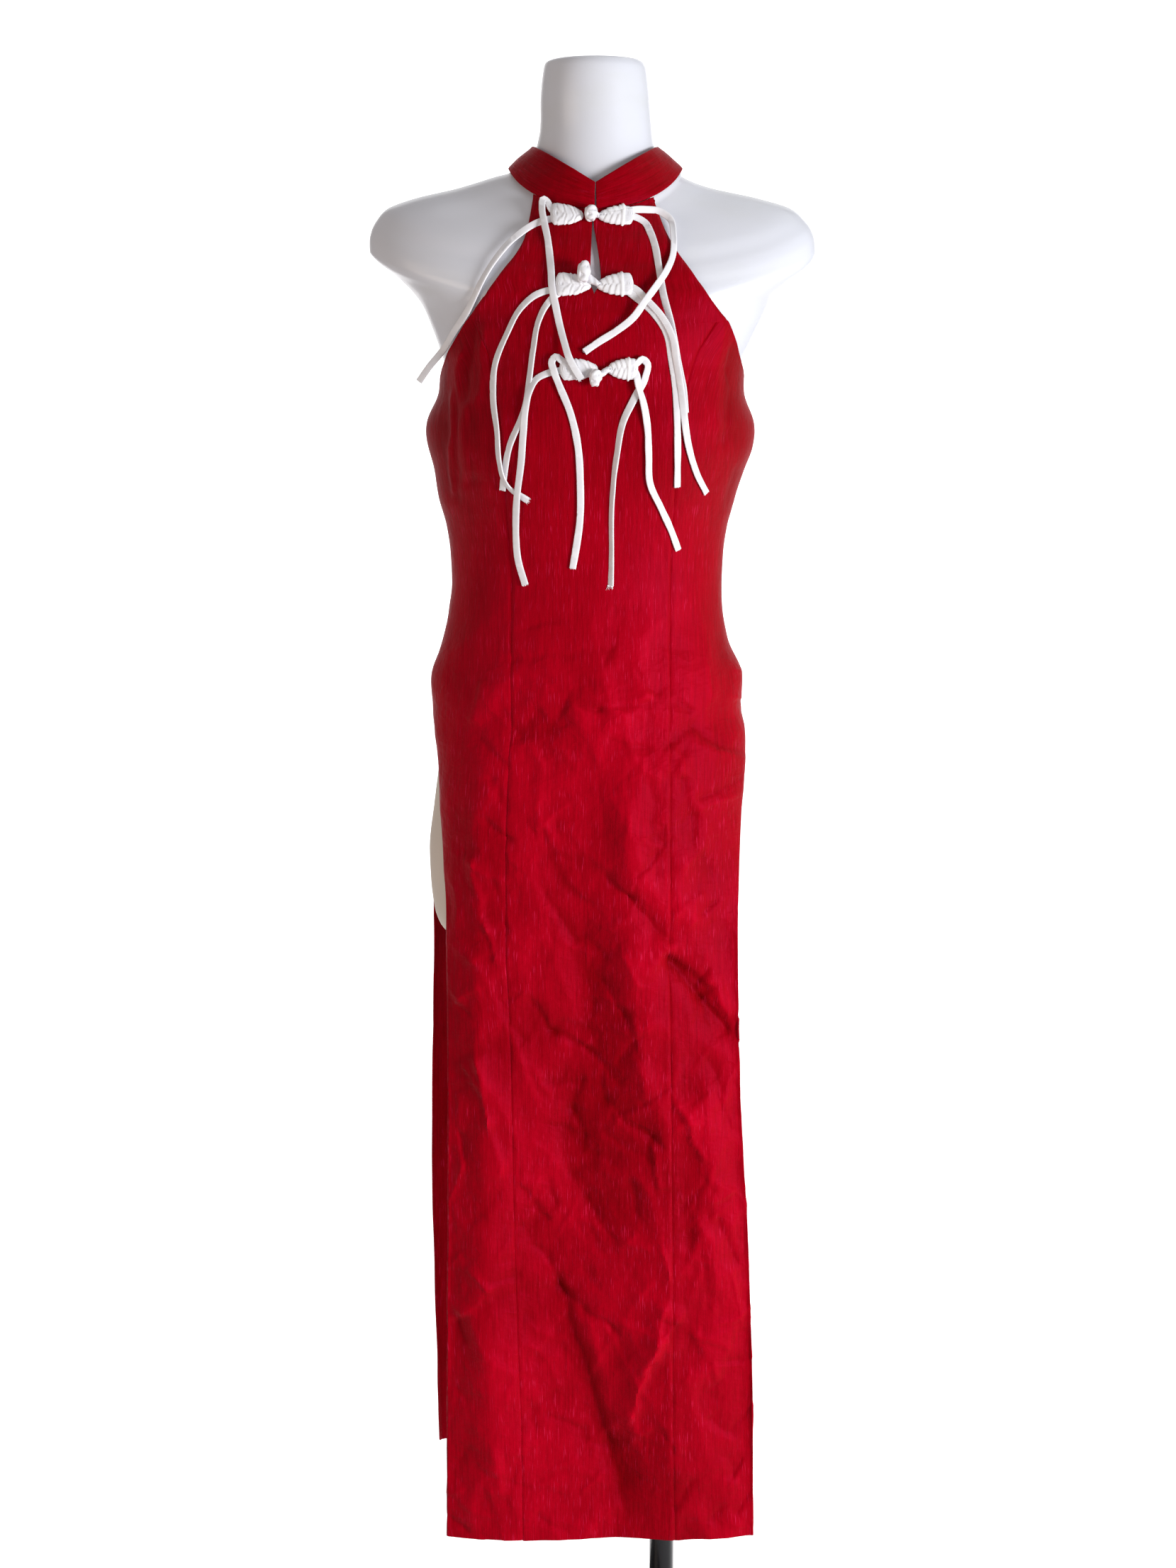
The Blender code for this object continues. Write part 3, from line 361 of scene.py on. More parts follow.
# Each tie's route from its frog: x, height, lift above the front's face, and how far it is turned on
# its edge, in degrees.
TIES = {
    "tie_01": [
        (-25.0, 1385.6, 2.0, 20), (-30.0, 1389.6, 3.2, 20), (-33.8, 1395.6, 3.6, 20),
        (-36.4, 1396.8, 4.6, -10), (-37.6, 1390.0, 4.8, 0), (-36.4, 1379.0, 3.6, 0),
        (-33.6, 1366.0, 1.8, 0), (-31.7, 1352.9, 0.8, 0), (-30.2, 1336.9, 2.0, 0), (-29.4, 1324.0, 4.0, 0),
        (-26.2, 1309.4, 2.0, 0), (-22.6, 1293.5, 1.0, 0), (-18.3, 1278.8, 4.0, 0), (-14.8, 1268.0, 7.2, 0),
        (-9.4, 1256.9, 7.6, 0), (-4.6, 1249.3, 7.2, 0),
    ],
    "tie_02": [
        (-25.0, 1383.0, 1.8, 0), (-30.0, 1382.0, 1.6, 0), (-35.0, 1381.4, 1.0, 0), (-42.2, 1379.2, 0.6, 0),
        (-59.6, 1368.2, 0.6, 12), (-80.0, 1346.0, 0.2, 15), (-89.5, 1331.7, -0.8, 15),
        (-101.4, 1309.4, -1.2, 0), (-112.6, 1291.8, -0.4, -10),
    ],
    "tie_03": [
        (33.0, 1388.6, 2.4, 0), (38.0, 1389.6, 2.4, 0), (50.4, 1390.4, 1.2, 0), (62.4, 1388.6, 1.2, 10),
        (71.2, 1382.6, 1.0, 20), (74.3, 1368.3, 1.2, 10), (72.8, 1350.6, 2.2, 0), (67.2, 1337.3, 3.8, 0),
        (58.0, 1323.0, 5.2, 0), (48.4, 1311.7, 7.0, 0), (38.8, 1300.5, 5.0, 0), (24.5, 1288.8, 1.6, 0),
        (10.2, 1280.5, 1.0, 0), (-2.0, 1272.6, 1.8, 0),
    ],
    "tie_04": [
        (33.0, 1385.0, 2.0, 0), (39.0, 1384.2, 1.8, 0), (49.6, 1379.4, 0.8, 0), (54.8, 1370.0, 0.8, 20),
        (57.9, 1360.9, 0.8, 30), (61.3, 1341.6, 0.8, 35), (64.7, 1319.6, 0.8, 35), (71.3, 1293.6, 0.8, 40),
        (75.9, 1267.1, 0.8, 40), (80.5, 1241.1, 0.8, 30), (82.3, 1221.5, 0.8, 30),
    ],
    "tie_05": [
        (-20.0, 1322.6, 2.0, 0), (-26.6, 1321.9, 2.0, 0), (-33.0, 1322.0, 0.8, 0), (-42.8, 1319.4, 0.8, 15),
        (-55.0, 1309.0, 0.8, 25), (-67.1, 1287.2, 0.8, 30), (-76.3, 1263.0, 0.8, 15),
        (-78.0, 1232.2, 0.8, 10), (-74.9, 1206.2, 0.8, 25), (-73.3, 1185.3, 2.2, 30),
        (-69.3, 1169.6, 3.8, 35), (-64.1, 1159.7, 1.4, 40), (-57.5, 1154.9, 0.8, 30),
        (-50.2, 1150.1, 0.8, 10),
    ],
    "tie_06": [
        (-21.0, 1321.0, 1.6, 0), (-27.6, 1317.6, 1.6, 0), (-34.5, 1309.9, 0.8, 20),
        (-40.5, 1297.7, 0.8, 30), (-44.7, 1275.9, 0.8, 30), (-48.3, 1250.0, 0.8, 25),
        (-52.5, 1225.8, 0.8, 25), (-65.3, 1194.9, 0.8, 15), (-70.0, 1171.3, 0.8, 0),
        (-71.5, 1159.0, 0.8, 0),
    ],
    "tie_07": [
        (32.0, 1322.6, 1.6, 0), (38.6, 1318.4, 1.4, 0), (46.5, 1312.8, 0.8, 10), (55.7, 1305.0, 0.8, 20),
        (65.9, 1290.0, 0.8, 25), (70.8, 1267.1, 0.8, 25), (74.4, 1241.1, 0.8, 20), (75.6, 1218.1, 0.8, 10),
        (76.3, 1197.3, 0.8, 0), (76.8, 1161.9, 0.8, 0),
    ],
    "tie_08": [
        (32.0, 1326.0, 2.4, 0), (40.0, 1322.6, 2.9, 0), (50.2, 1313.9, 3.6, 15), (62.2, 1301.8, 4.0, 25),
        (70.6, 1284.7, 4.0, 30), (73.7, 1264.1, 3.9, 35), (77.3, 1241.1, 3.9, 35), (80.4, 1218.1, 3.2, 20),
        (83.6, 1201.4, 1.6, 0), (92.3, 1174.5, 0.8, 0), (101.9, 1155.5, 0.8, 0),
    ],
    "tie_09": [
        (-16.0, 1261.0, 2.4, 25), (-21.4, 1265.6, 3.2, 25), (-26.0, 1268.6, 3.0, 20),
        (-29.0, 1264.5, 3.2, 0), (-27.4, 1256.0, 3.8, 0), (-23.4, 1244.7, 1.8, 0), (-14.8, 1223.5, 0.8, 0),
        (-8.3, 1197.4, 0.8, 0), (-5.9, 1166.1, 0.8, 0), (-6.0, 1132.5, 0.8, 0), (-9.7, 1104.8, 0.8, 0),
        (-12.2, 1090.0, 0.8, 0),
    ],
    "tie_10": [
        (-16.0, 1257.4, 1.8, 0), (-22.6, 1256.8, 1.4, 0), (-33.0, 1254.6, 0.8, 10),
        (-41.7, 1250.0, 1.4, 20), (-48.2, 1238.2, 3.8, 15), (-51.2, 1225.3, 4.0, 0),
        (-53.7, 1206.4, 1.8, 0), (-55.8, 1182.4, 1.6, 0), (-58.6, 1155.1, 3.8, 0), (-60.2, 1133.3, 1.6, 0),
        (-60.5, 1120.2, 0.8, 0), (-58.9, 1097.2, 0.8, 0), (-52.8, 1074.5, 0.8, 0),
    ],
    "tie_11": [
        (36.0, 1258.6, 2.4, 30), (41.6, 1262.6, 2.6, 30), (46.4, 1266.6, 2.4, 20), (50.4, 1263.4, 2.0, 0),
        (49.4, 1251.7, 1.0, 0), (40.8, 1234.7, 0.8, 20), (31.2, 1214.6, 0.8, 35), (25.9, 1188.5, 0.8, 50),
        (21.9, 1155.1, 0.8, 55), (20.8, 1127.6, 0.8, 55), (20.9, 1097.9, 0.8, 50), (20.3, 1074.5, 0.8, 40),
    ],
    "tie_12": [
        (37.0, 1260.0, 2.6, 0), (41.0, 1254.6, 3.2, 0), (43.2, 1244.2, 3.8, -20), (47.6, 1230.9, 3.2, -10),
        (51.5, 1212.3, 0.8, 0), (52.9, 1188.4, 0.8, 0), (53.8, 1166.0, 0.8, 0), (63.4, 1143.0, 0.8, 0),
        (71.8, 1123.5, 0.8, 0), (78.3, 1105.2, 0.8, 0),
    ],
}
# The tie that passes the form's shoulder ends in the air: x, y and height.
HANGING_ENDS = {"tie_02": [(-125.0, -60.0, 1274.6), (-136.8, -60.0, 1260.6), (-145.6, -59.0, 1248.4)]}
LONG_FRAYS = {"tie_11": 0.0046, "tie_05": 0.0030}
TIE_STEP = 0.0022
CORD_SEGMENTS = 14
FRAY_THREADS, FRAY_POINTS, FRAY_SIDES = 9, 5, 5
FRAY_RADIUS = 0.00032
AHEAD = np.array([0.0, -1.0, 0.0])


class DressLooks(PropertyGroup):
    cloth: FloatProperty(
        name="Cloth", description="Thickness of the panels' cloth", default=0.0015, unit="LENGTH"
    )
    band: FloatProperty(name="Collar", description="Thickness of the collar", default=0.002, unit="LENGTH")
    grain: FloatProperty(
        name="Mesh grain", description="Distance between the panels' rows", default=0.0021, unit="LENGTH"
    )
    creases: FloatProperty(
        name="Creases", description="Depth of the creases", default=2.3, subtype="FACTOR"
    )
    crumple: FloatProperty(
        name="Crumple", description="Depth of the fine crumple", default=1.0, subtype="FACTOR"
    )
    # Crimson and deep red are the cloth's two ends of colour. The threads, a random mottle, and painted
    # highlight and painted shade choose between them. The slub colour is the thick threads' pale pink,
    # partly their own and partly painted highlight.
    crimson: FloatVectorProperty(
        name="Crimson", description="The brightest cloth", default=(0.47, 0.0006, 0.0105), subtype="COLOR"
    )
    deep_red: FloatVectorProperty(
        name="Deep red", description="Between the threads", default=(0.20, 0.0004, 0.0014), subtype="COLOR"
    )
    slub_and_glint: FloatVectorProperty(
        name="Slub", description="The thickest threads", default=(0.66, 0.016, 0.07), subtype="COLOR"
    )


class TrimLooks(PropertyGroup):
    tie_width: FloatProperty(name="Tie width", description="Width of a tie", default=0.0060, unit="LENGTH")
    tie_thick: FloatProperty(
        name="Tie thickness", description="Thickness of a tie", default=0.0016, unit="LENGTH"
    )
    fray: FloatProperty(
        name="Fray", description="Length of the threads at a cut end", default=0.0018, unit="LENGTH"
    )
    leaves: IntProperty(name="Plaits", description="Leaves on each side of a plaited half", default=5)
    pleats: IntProperty(name="Pleats", description="Folds on each side of a looped half", default=5)
    satin: FloatVectorProperty(
        name="Satin", description="The frogs and ties", default=(0.93, 0.91, 0.91), subtype="COLOR"
    )
    # Painted shade that the satin takes in its folds and hollows.
    satin_shade: FloatVectorProperty(
        name="Satin shade", description="The satin's folds", default=(0.80, 0.78, 0.81), subtype="COLOR"
    )


class FormLooks(PropertyGroup):
    shell: FloatVectorProperty(
        name="Shell", description="The form's gloss shell", default=(0.76, 0.765, 0.81), subtype="COLOR"
    )
    hip: FloatVectorProperty(
        name="Hip", description="The form's lower part", default=(0.72, 0.62, 0.53), subtype="COLOR"
    )
    metal: FloatVectorProperty(
        name="Stand", description="The stand's paint", default=(0.008, 0.008, 0.009), subtype="COLOR"
    )


class StudioLooks(PropertyGroup):
    lens: FloatProperty(name="Lens", description="Focal length for a 36 mm tall frame", default=55.92)
    key: FloatProperty(name="Key light", description="Power of the key light", default=82.0, unit="POWER")
    fill: FloatProperty(name="Fill light", description="Power of the fill light", default=7.0, unit="POWER")
    daylight: FloatProperty(name="Daylight", description="Strength of the light all round", default=0.26)
    backdrop: FloatVectorProperty(
        name="Backdrop", description="The floor and backdrop", default=(0.92, 0.92, 0.92), subtype="COLOR"
    )


def bowed(fore):
    """0 at the sides and 1 at the front and back, like the size of a cosine with its kink rounded."""
    round_off = 0.28
    return (np.sqrt(fore**2 + round_off**2) - round_off) / (math.hypot(1, round_off) - round_off)


def form_surface(z, t):
    """Points of the dress form's surface at nominal height z and angle t."""
    fore = np.cos(t)
    ahead = fore > 0
    depth = np.where(ahead, FORM.at("front", z), FORM.at("back", z))
    drop = np.where(ahead, FORM.at("front_drop", z), FORM.at("back_drop", z))
    x = FORM.at("centre", z) + FORM.at("half", z) * np.sin(t)
    height = z - drop * bowed(fore)
    across = (np.abs(x - BUST["middle"]) - BUST["spread"]) / BUST["wide"]
    along = (height - BUST["height"]) / BUST["tall"]
    cup = BUST["rise"] * np.exp(-(across**2) - along**2) * np.clip(fore * 3, 0, 1)
    y = -np.sign(fore) * depth * np.abs(fore) ** FORM_FULLNESS - cup
    return np.stack(np.broadcast_arrays(x, y, height), axis=-1)


def lifted(surface, z, t, lift):
    """Points of a surface, moved out along its normals by lift."""
    rise, turn = 0.0006, 0.004
    along = surface(z + rise, t) - surface(z - rise, t)
    around = surface(z, t + turn) - surface(z, t - turn)
    return surface(z, t) + np.asarray(lift)[..., None] * unit(np.cross(around, along))


def bell(value, middle, width):
    return np.exp(-(((value - middle) / width) ** 2))


def ease(z, t):
    """How far the cloth stands off the form."""
    side = np.abs(np.sin(t)) ** 10
    behind = 0.0015 * bell(z, 1.262, 0.03) * np.clip(-2 * np.cos(t), 0, 1)
    return CLEARANCE + behind + side * (0.006 * bell(z, 1.207, 0.022) + 0.0045 * bell(z, 0.988, 0.017))


def bodice(z, t):
    return lifted(form_surface, z, t, ease(z, t))


def skirt(z, t):
    fore = np.cos(t)
    ahead = fore > 0

    def size(column):
        return np.where(ahead, FRONT_SKIRT.at(column, z), BACK_SKIRT.at(column, z))

    x = (size("left") + size("right")) / 2 + (size("right") - size("left")) / 2 * np.sin(t)
    depth = size("edge") + (size("middle") - size("edge")) * np.abs(fore) ** size("bow")
    return np.stack(np.broadcast_arrays(x, -np.sign(fore) * depth, z), axis=-1)


def skirt_share(z):
    """0 on the bodice, 1 on the skirt."""
    high, low = WAIST_TO_SKIRT
    return eased(np.clip((high - z) / (high - low), 0, 1))


def cloth(z, t):
    """Points of the cloth's inner face before its folds."""
    share = skirt_share(z)[..., None] if np.ndim(z) else skirt_share(z)
    return (1 - share) * bodice(z, t) + share * skirt(z, t)


def beside(points, row):
    """A fold's width and height, and how far points lie off its line and past its ends."""
    x, z = points[..., 0], points[..., 2]
    fold = dict(zip(FOLD, np.array(row, float) * MM))
    run_x, run_z = fold["to_x"] - fold["from_x"], fold["to_z"] - fold["from_z"]
    length = math.hypot(run_x, run_z)
    near = ((x - fold["from_x"]) * run_x + (z - fold["from_z"]) * run_z) / length
    off = ((x - fold["from_x"]) * run_z - (z - fold["from_z"]) * run_x) / length
    past = np.maximum(0, np.abs(near - length / 2) - length / 2)
    return fold["width"], fold["height"], off, past


def fold_lift(points, rows):
    """How far a table's folds move the cloth out."""
    total = 0.0
    for row in rows:
        width, height, off, past = beside(points, row)
        total = total + height * np.exp(-(off**2 + past**2) / width**2)
    return total


def crease_lift(points, rows):
    """How far sharp creases move the cloth out: each falls off fast on one flank and slowly on the other."""
    total = 0.0
    for number, row in enumerate(rows):
        width, height, off, past = beside(points, row)
        steep = off if number % 2 else -off
        flank = width * np.where(steep > 0, 0.45, 1.7)
        crest = (np.sqrt(off**2 + CREST_ROUND**2) - CREST_ROUND) / flank
        total = total + height * np.exp(-crest - (past / (0.0015 + 0.9 * width)) ** 2)
    return total


def plane_lift(x, z):
    """How far the front's broad planes stand off the even skirt, with their ridges and valley rounded."""
    lines = ("ridge", "bend", "valley", "second")
    places = [-0.140, *(PLANES.at(name, z) for name in lines), 0.150]
    lifts = [PLANE_LIFTS.at(name, z) for name in ("left", *lines, "right")]
    total = 0.0
    for shift, weight in ((-0.004, 0.25), (0.0, 0.5), (0.004, 0.25)):
        level = lifts[0]
        for i in range(len(places) - 1):
            f = np.clip((x + shift - places[i]) / (places[i + 1] - places[i]), 0, 1)
            level = level + f * (lifts[i + 1] - lifts[i])
        total = total + weight * level
    return total


def small_creases(count, seed):
    """Rows of short creases all over the skirt, most of them aslant."""
    rng = np.random.default_rng(seed)
    rows = []
    for _ in range(count):
        x, z = rng.uniform(-150, 150), rng.uniform(205, 1030)
        length = float(np.clip(rng.lognormal(3.1, 0.5), 9, 75))
        aslant = math.radians(rng.choice([-1, 1]) * rng.uniform(15, 80))
        height = rng.choice([-1, 1]) * rng.uniform(0.35, 1.25)
        width = rng.uniform(2.4, 7.0)
        rows.append((x, z, x + length * math.cos(aslant), z + length * math.sin(aslant), width, height))
    return rows


def angle_at(x, z, front=True):
    """The angle at which the cloth of nominal height z reaches x."""
    skirt_sizes = FRONT_SKIRT if front else BACK_SKIRT
    share = skirt_share(z)
    left, right = skirt_sizes.at("left", z), skirt_sizes.at("right", z)
    centre = (1 - share) * FORM.at("centre", z) + share * (left + right) / 2
    half = (1 - share) * (FORM.at("half", z) + CLEARANCE) + share * (right - left) / 2
    return np.arcsin(np.clip((x - centre) / half, -1, 1))


def edge_angle(table, column, z, gap=0.0, front=True):
    """The angle of a table's edge on the section of nominal height z, moved along x by gap."""
    name = "front_drop" if front else "back_drop"
    height = z
    for _ in range(6):
        t = angle_at(table.at(column, height) + gap, z, front)
        height = z - FORM.at(name, z) * bowed(np.cos(t))
    return t


def on_front(x, z, lift):
    """The points that lie lift above the front's outer face, at x and height z."""
    x, z, lift = (np.atleast_1d(np.asarray(value, float)) for value in (x, z, lift))
    nominal, t = z, 0.0
    for _ in range(24):
        t = angle_at(x, nominal)
        nominal = (nominal + z + FORM.at("front_drop", nominal) * bowed(np.cos(t))) / 2
    folds = fold_lift(cloth(nominal, t), FRONT_FOLDS)
    return lifted(cloth, nominal, t, folds + bpy.context.scene.cheongsam_dress.cloth + lift)


def run_along(points):
    """How far each point lies along its row of points."""
    steps = np.linalg.norm(np.diff(points, axis=-2), axis=-1)
    return np.concatenate([np.zeros_like(steps[..., :1]), np.cumsum(steps, axis=-1)], axis=-1)


def unit(directions):
    """Directions of length 1."""
    return directions / np.linalg.norm(directions, axis=-1, keepdims=True)


def smooth_path(points, step):
    """Points about a step apart on a smooth curve through the given ones."""
    points = np.array(points, float)
    run = run_along(points[:, :3])
    places = np.linspace(0, run[-1], round(run[-1] / step) + 1)
    return on_curve(run, points, np.gradient(points, run, axis=0), places)


def rumple(u, v, seed=0.0):
    """Smooth noise between -1 and 1, with one bump or hollow in each unit square."""
    i, j = np.floor(u), np.floor(v)
    f, g = u - i, v - j
    f, g = eased(f), eased(g)

    def corner(a, b):
        return (np.sin(a * 127.1 + b * 311.7 + seed * 74.7) * 43758.5453) % 1.0

    low = corner(i, j) * (1 - f) + corner(i + 1, j) * f
    high = corner(i, j + 1) * (1 - f) + corner(i + 1, j + 1) * f
    return 2 * (low * (1 - g) + high * g) - 1


def only(obj):
    """Makes obj the one that is selected and active."""
    bpy.ops.object.select_all(action="DESELECT")
    obj.select_set(True)
    bpy.context.view_layer.objects.active = obj


def apply(obj, kind, **settings):
    """Adds a modifier with these settings and applies it."""
    only(obj)
    modifier = obj.modifiers.new(kind.title(), kind)
    for key, value in settings.items():
        setattr(modifier, key, value)
    bpy.ops.object.modifier_apply(modifier=modifier.name)


def soften(obj, degrees):
    """Shades a piece smooth, but for edges that turn by more than these degrees."""
    only(obj)
    bpy.ops.object.shade_smooth_by_angle(angle=math.radians(degrees))


def pick(obj, kind, chosen):
    """Goes into edit mode with only the chosen faces or edges selected."""
    bpy.ops.object.mode_set(mode="OBJECT")
    only(obj)
    bpy.ops.object.mode_set(mode="EDIT")
    bpy.ops.mesh.select_mode(type=kind)
    bpy.ops.mesh.select_all(action="DESELECT")
    bpy.ops.object.mode_set(mode="OBJECT")
    for part in obj.data.polygons if kind == "FACE" else obj.data.edges:
        part.select = chosen(part)
    bpy.ops.object.mode_set(mode="EDIT")


def new_primitive(name, add, **sizes):
    """A mesh primitive under its name, with its points."""
    bpy.ops.object.select_all(action="DESELECT")
    add(**sizes)
    obj = bpy.context.object
    obj.name = obj.data.name = name
    points = np.empty(len(obj.data.vertices) * 3)
    obj.data.vertices.foreach_get("co", points)
    return obj, points.reshape(-1, 3)


def new_grid(name, rows, columns):
    """A grid primitive, with the row, from the top, and the column of each of its points."""
    add = bpy.ops.mesh.primitive_grid_add
    obj, points = new_primitive(name, add, x_subdivisions=columns - 1, y_subdivisions=rows - 1, size=2)
    row = np.rint((1 - points[:, 1]) / 2 * (rows - 1)).astype(int)
    column = np.rint((1 + points[:, 0]) / 2 * (columns - 1)).astype(int)
    return obj, row, column


def new_ball(name, rings, segments):
    """A ball primitive, with the ring, from its first pole, and the segment of each of its points."""
    add = bpy.ops.mesh.primitive_uv_sphere_add
    obj, points = new_primitive(name, add, segments=segments, ring_count=rings, radius=1)
    ring = np.rint(np.arccos(np.clip(points[:, 2], -1, 1)) / math.pi * rings).astype(int)
    turn = np.arctan2(points[:, 1], points[:, 0])
    return obj, ring, np.rint(turn / (2 * math.pi) * segments).astype(int) % segments


def new_tube(name, line, offsets):
    """A closed tube round a line, with each of its points' place in the line, its segment and where it goes.

    offsets says how far each segment lies from each point of the line.
    """
    count, segments = offsets.shape[:2]
    obj, ring, segment = new_ball(name, count + 1, segments)
    rings = line[:, None, :] + offsets
    inner = np.clip(ring - 1, 0, count - 1)
    pole = (ring == 0) | (ring == count + 1)
    return obj, inner, segment, np.where(pole[:, None], line[inner], rings[inner, segment])


def place(obj, points, uv=None, fold=None):
    """Moves a mesh's points, and writes their places on the cloth and how far a fold lifts them, which the
    finishes turn into painted highlight and painted shade.
    """
    mesh = obj.data
    mesh.vertices.foreach_set("co", np.ascontiguousarray(points, float).ravel())
    if uv is not None:
        loops = np.empty(len(mesh.loops), int)
        mesh.loops.foreach_get("vertex_index", loops)
        mesh.uv_layers[0].data.foreach_set("uv", np.ascontiguousarray(uv[loops]).ravel())
    if fold is None:
        fold = np.zeros(len(points))
    attribute = mesh.attributes.new("fold", "FLOAT", "POINT")
    attribute.data.foreach_set("value", np.ascontiguousarray(fold, float))
    mesh.update()


def outwards(obj):
    """Turns a closed shell's faces outwards."""
    only(obj)
    bpy.ops.object.mode_set(mode="EDIT")
    bpy.ops.mesh.select_all(action="SELECT")
    bpy.ops.mesh.normals_make_consistent(inside=False)
    bpy.ops.object.mode_set(mode="OBJECT")


def hand_over(obj, slot, node):
    """The piece rides on the one body, takes its slot's finish and stands for its node."""
    obj.data.materials.clear()
    obj.data.materials.append(FINISHES[slot]())
    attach(obj, "root")
    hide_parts(node)


class Wire:
    """A number, colour or vector that runs between a finish's nodes, and takes part in sums."""

    def __init__(self, finish, socket):
        self.finish, self.socket = finish, socket

    def __add__(self, other):
        return self.finish.maths("ADD", self, other)

    __radd__ = __add__

    def __sub__(self, other):
        return self.finish.maths("SUBTRACT", self, other)

    def __rsub__(self, other):
        return self.finish.maths("SUBTRACT", other, self)

    def __mul__(self, other):
        return self.finish.maths("MULTIPLY", self, other)

    __rmul__ = __mul__

    def between(self, low, high):
        """0 at low, 1 at high, and smooth between them."""
        settings = {"interpolation_type": "SMOOTHSTEP"}
        return self.finish.node("ShaderNodeMapRange", settings, self, low, high, 0.0, 1.0)


class Finish:
    """A material under one shader."""

    def __init__(self, name):
        self.material = bpy.data.materials.new(name)
        self.material.use_nodes = True
        self.tree = self.material.node_tree
        self.shader = self.tree.nodes["Principled BSDF"]

    def plug(self, socket, value):
        """Links a wire to a socket, or sets the socket's own value."""
        if isinstance(value, Wire):
            self.tree.links.new(value.socket, socket)
        else:
            socket.default_value = value

    def node(self, kind, settings=None, *values, out=0, **named):
        """One node's output: its settings are set first, then its sockets by place or by name."""
        made = self.tree.nodes.new(kind)
        for key, value in (settings or {}).items():
            setattr(made, key, value)
        for key, value in [*enumerate(values), *named.items()]:
            self.plug(made.inputs[key if isinstance(key, int) else key.replace("_", " ")], value)
        return Wire(self, made.outputs[out])

    def surface(self, **scale):
        """Places on the piece's own UV map, in metres, or in its space, times a scale on each axis."""
        if "uv" in scale:
            source = self.node("ShaderNodeUVMap", {"uv_map": "UVMap"})
            return self.node("ShaderNodeMapping", None, Vector=source, Scale=(*scale["uv"], 1.0))
        source = self.node("ShaderNodeTexCoord", None, out="Object")
        return self.node("ShaderNodeMapping", None, Vector=source, Scale=scale["space"])

    def axis(self, number):
        """Places along one axis of the piece's space, in metres."""
        return self.node("ShaderNodeSeparateXYZ", None, self.surface(space=(1, 1, 1)), out=number)

    def fold(self):
        """How far a fold lifts the surface, as the piece's mesh says: the finishes paint raised parts
        lighter and hollows darker from it.
        """
        return self.node("ShaderNodeAttribute", {"attribute_name": "fold"}, out="Fac")

    def maths(self, operation, *values):
        return self.node("ShaderNodeMath", {"operation": operation}, *values)

    def noise(self, detail=2.0, roughness=0.5, **scale):
        sizes = {"Scale": 1.0, "Detail": detail, "Roughness": roughness}
        return self.node("ShaderNodeTexNoise", None, Vector=self.surface(**scale), **sizes)

    def blend(self, share, first, second):
        """A colour between two, each a wire or red, green and blue."""
        made = self.tree.nodes.new("ShaderNodeMix")
        made.data_type = "RGBA"
        share_socket, first_socket, second_socket = (made.inputs[i] for i in (0, 6, 7))
        self.plug(share_socket, share)
        for socket, colour in ((first_socket, first), (second_socket, second)):
            self.plug(socket, colour if isinstance(colour, Wire) else (*colour, 1.0))
        return Wire(self, made.outputs[2])

    def set(self, **sockets):
        for key, value in sockets.items():
            self.plug(self.shader.inputs[key.replace("_", " ")], value)

    def bump(self, height, distance, strength=1.0):
        normal = self.node("ShaderNodeBump", None, Strength=strength, Distance=distance, Height=height)
        self.set(Normal=normal)


@cache
def crimson_crepe():
    """Slubbed crepe: fine threads down the cloth, a few thick, pale ones that carry painted pink glints,
    painted highlight on the ridges and painted shade in the hollows.
    """
    looks = bpy.context.scene.cheongsam_dress
    finish = Finish("crimson_crepe")
    threads = finish.noise(uv=(1100, 26), detail=3.0, roughness=0.6)
    streaks = finish.noise(uv=(430, 34), detail=3.0, roughness=0.7)
    bands = finish.noise(uv=(260, 7), detail=2.0)
    slubs = finish.noise(uv=(1000, 62), detail=1.0).between(0.60, 0.78)
    across = finish.noise(uv=(60, 1500), detail=1.0)
    patches = finish.noise(space=(11, 11, 7), detail=3.0)
    height = finish.axis(2)
    woven = threads.between(0.3, 0.72) * 0.30 + streaks.between(0.3, 0.7) * 0.22
    woven = woven + bands.between(0.35, 0.7) * 0.06
    # Painted highlight on the ridges and painted shade in the hollows, from the fold the mesh holds, over a
    # random mottle. The cloth is painted a little lighter to the right than to the left, and painted shade
    # darkens it upwards from just below the waist, fully above the bust.
    mottle_and_painted_fold_shade = patches.between(0.3, 0.7) * 0.22 + finish.fold() * 70.0
    share = woven + mottle_and_painted_fold_shade + finish.axis(0) * 0.1 + 0.14 - 0.22 * height.between(1.02, 1.26)
    colour = finish.blend(finish.node("ShaderNodeClamp", None, share), looks.deep_red, looks.crimson)
    # The thick threads are painted pale pink in patches: partly the slubs' own colour, partly painted
    # highlight standing in for the cloth's sheen.
    painted_slub_glints = slubs * patches.between(0.35, 0.6) * 0.65
    finish.set(
        Base_Color=finish.blend(painted_slub_glints, colour, looks.slub_and_glint),
        Roughness=0.56 - 0.12 * slubs - 0.08 * threads,
        Specular_IOR_Level=0.2,
        Specular_Tint=(1.0, 0.01, 0.18, 1.0),
        Sheen_Weight=0.02,
        Sheen_Roughness=0.4,
        Sheen_Tint=(1.0, 0.06, 0.2, 1.0),
    )
    dents = finish.noise(space=(85, 85, 50), detail=3.0, roughness=0.6)
    rucks = finish.maths("ABSOLUTE", finish.noise(space=(24, 24, 36), detail=3.0, roughness=0.6) - 0.5)
    rucks = rucks * (1.0 - 0.85 * height.between(0.98, 1.06))
    weave = threads * 0.35 + slubs * 0.4 + across * 0.3 + streaks * 0.35
    finish.bump(weave + dents * 2.6 - rucks * 13.0, 0.0005, 0.6)
    return finish.material


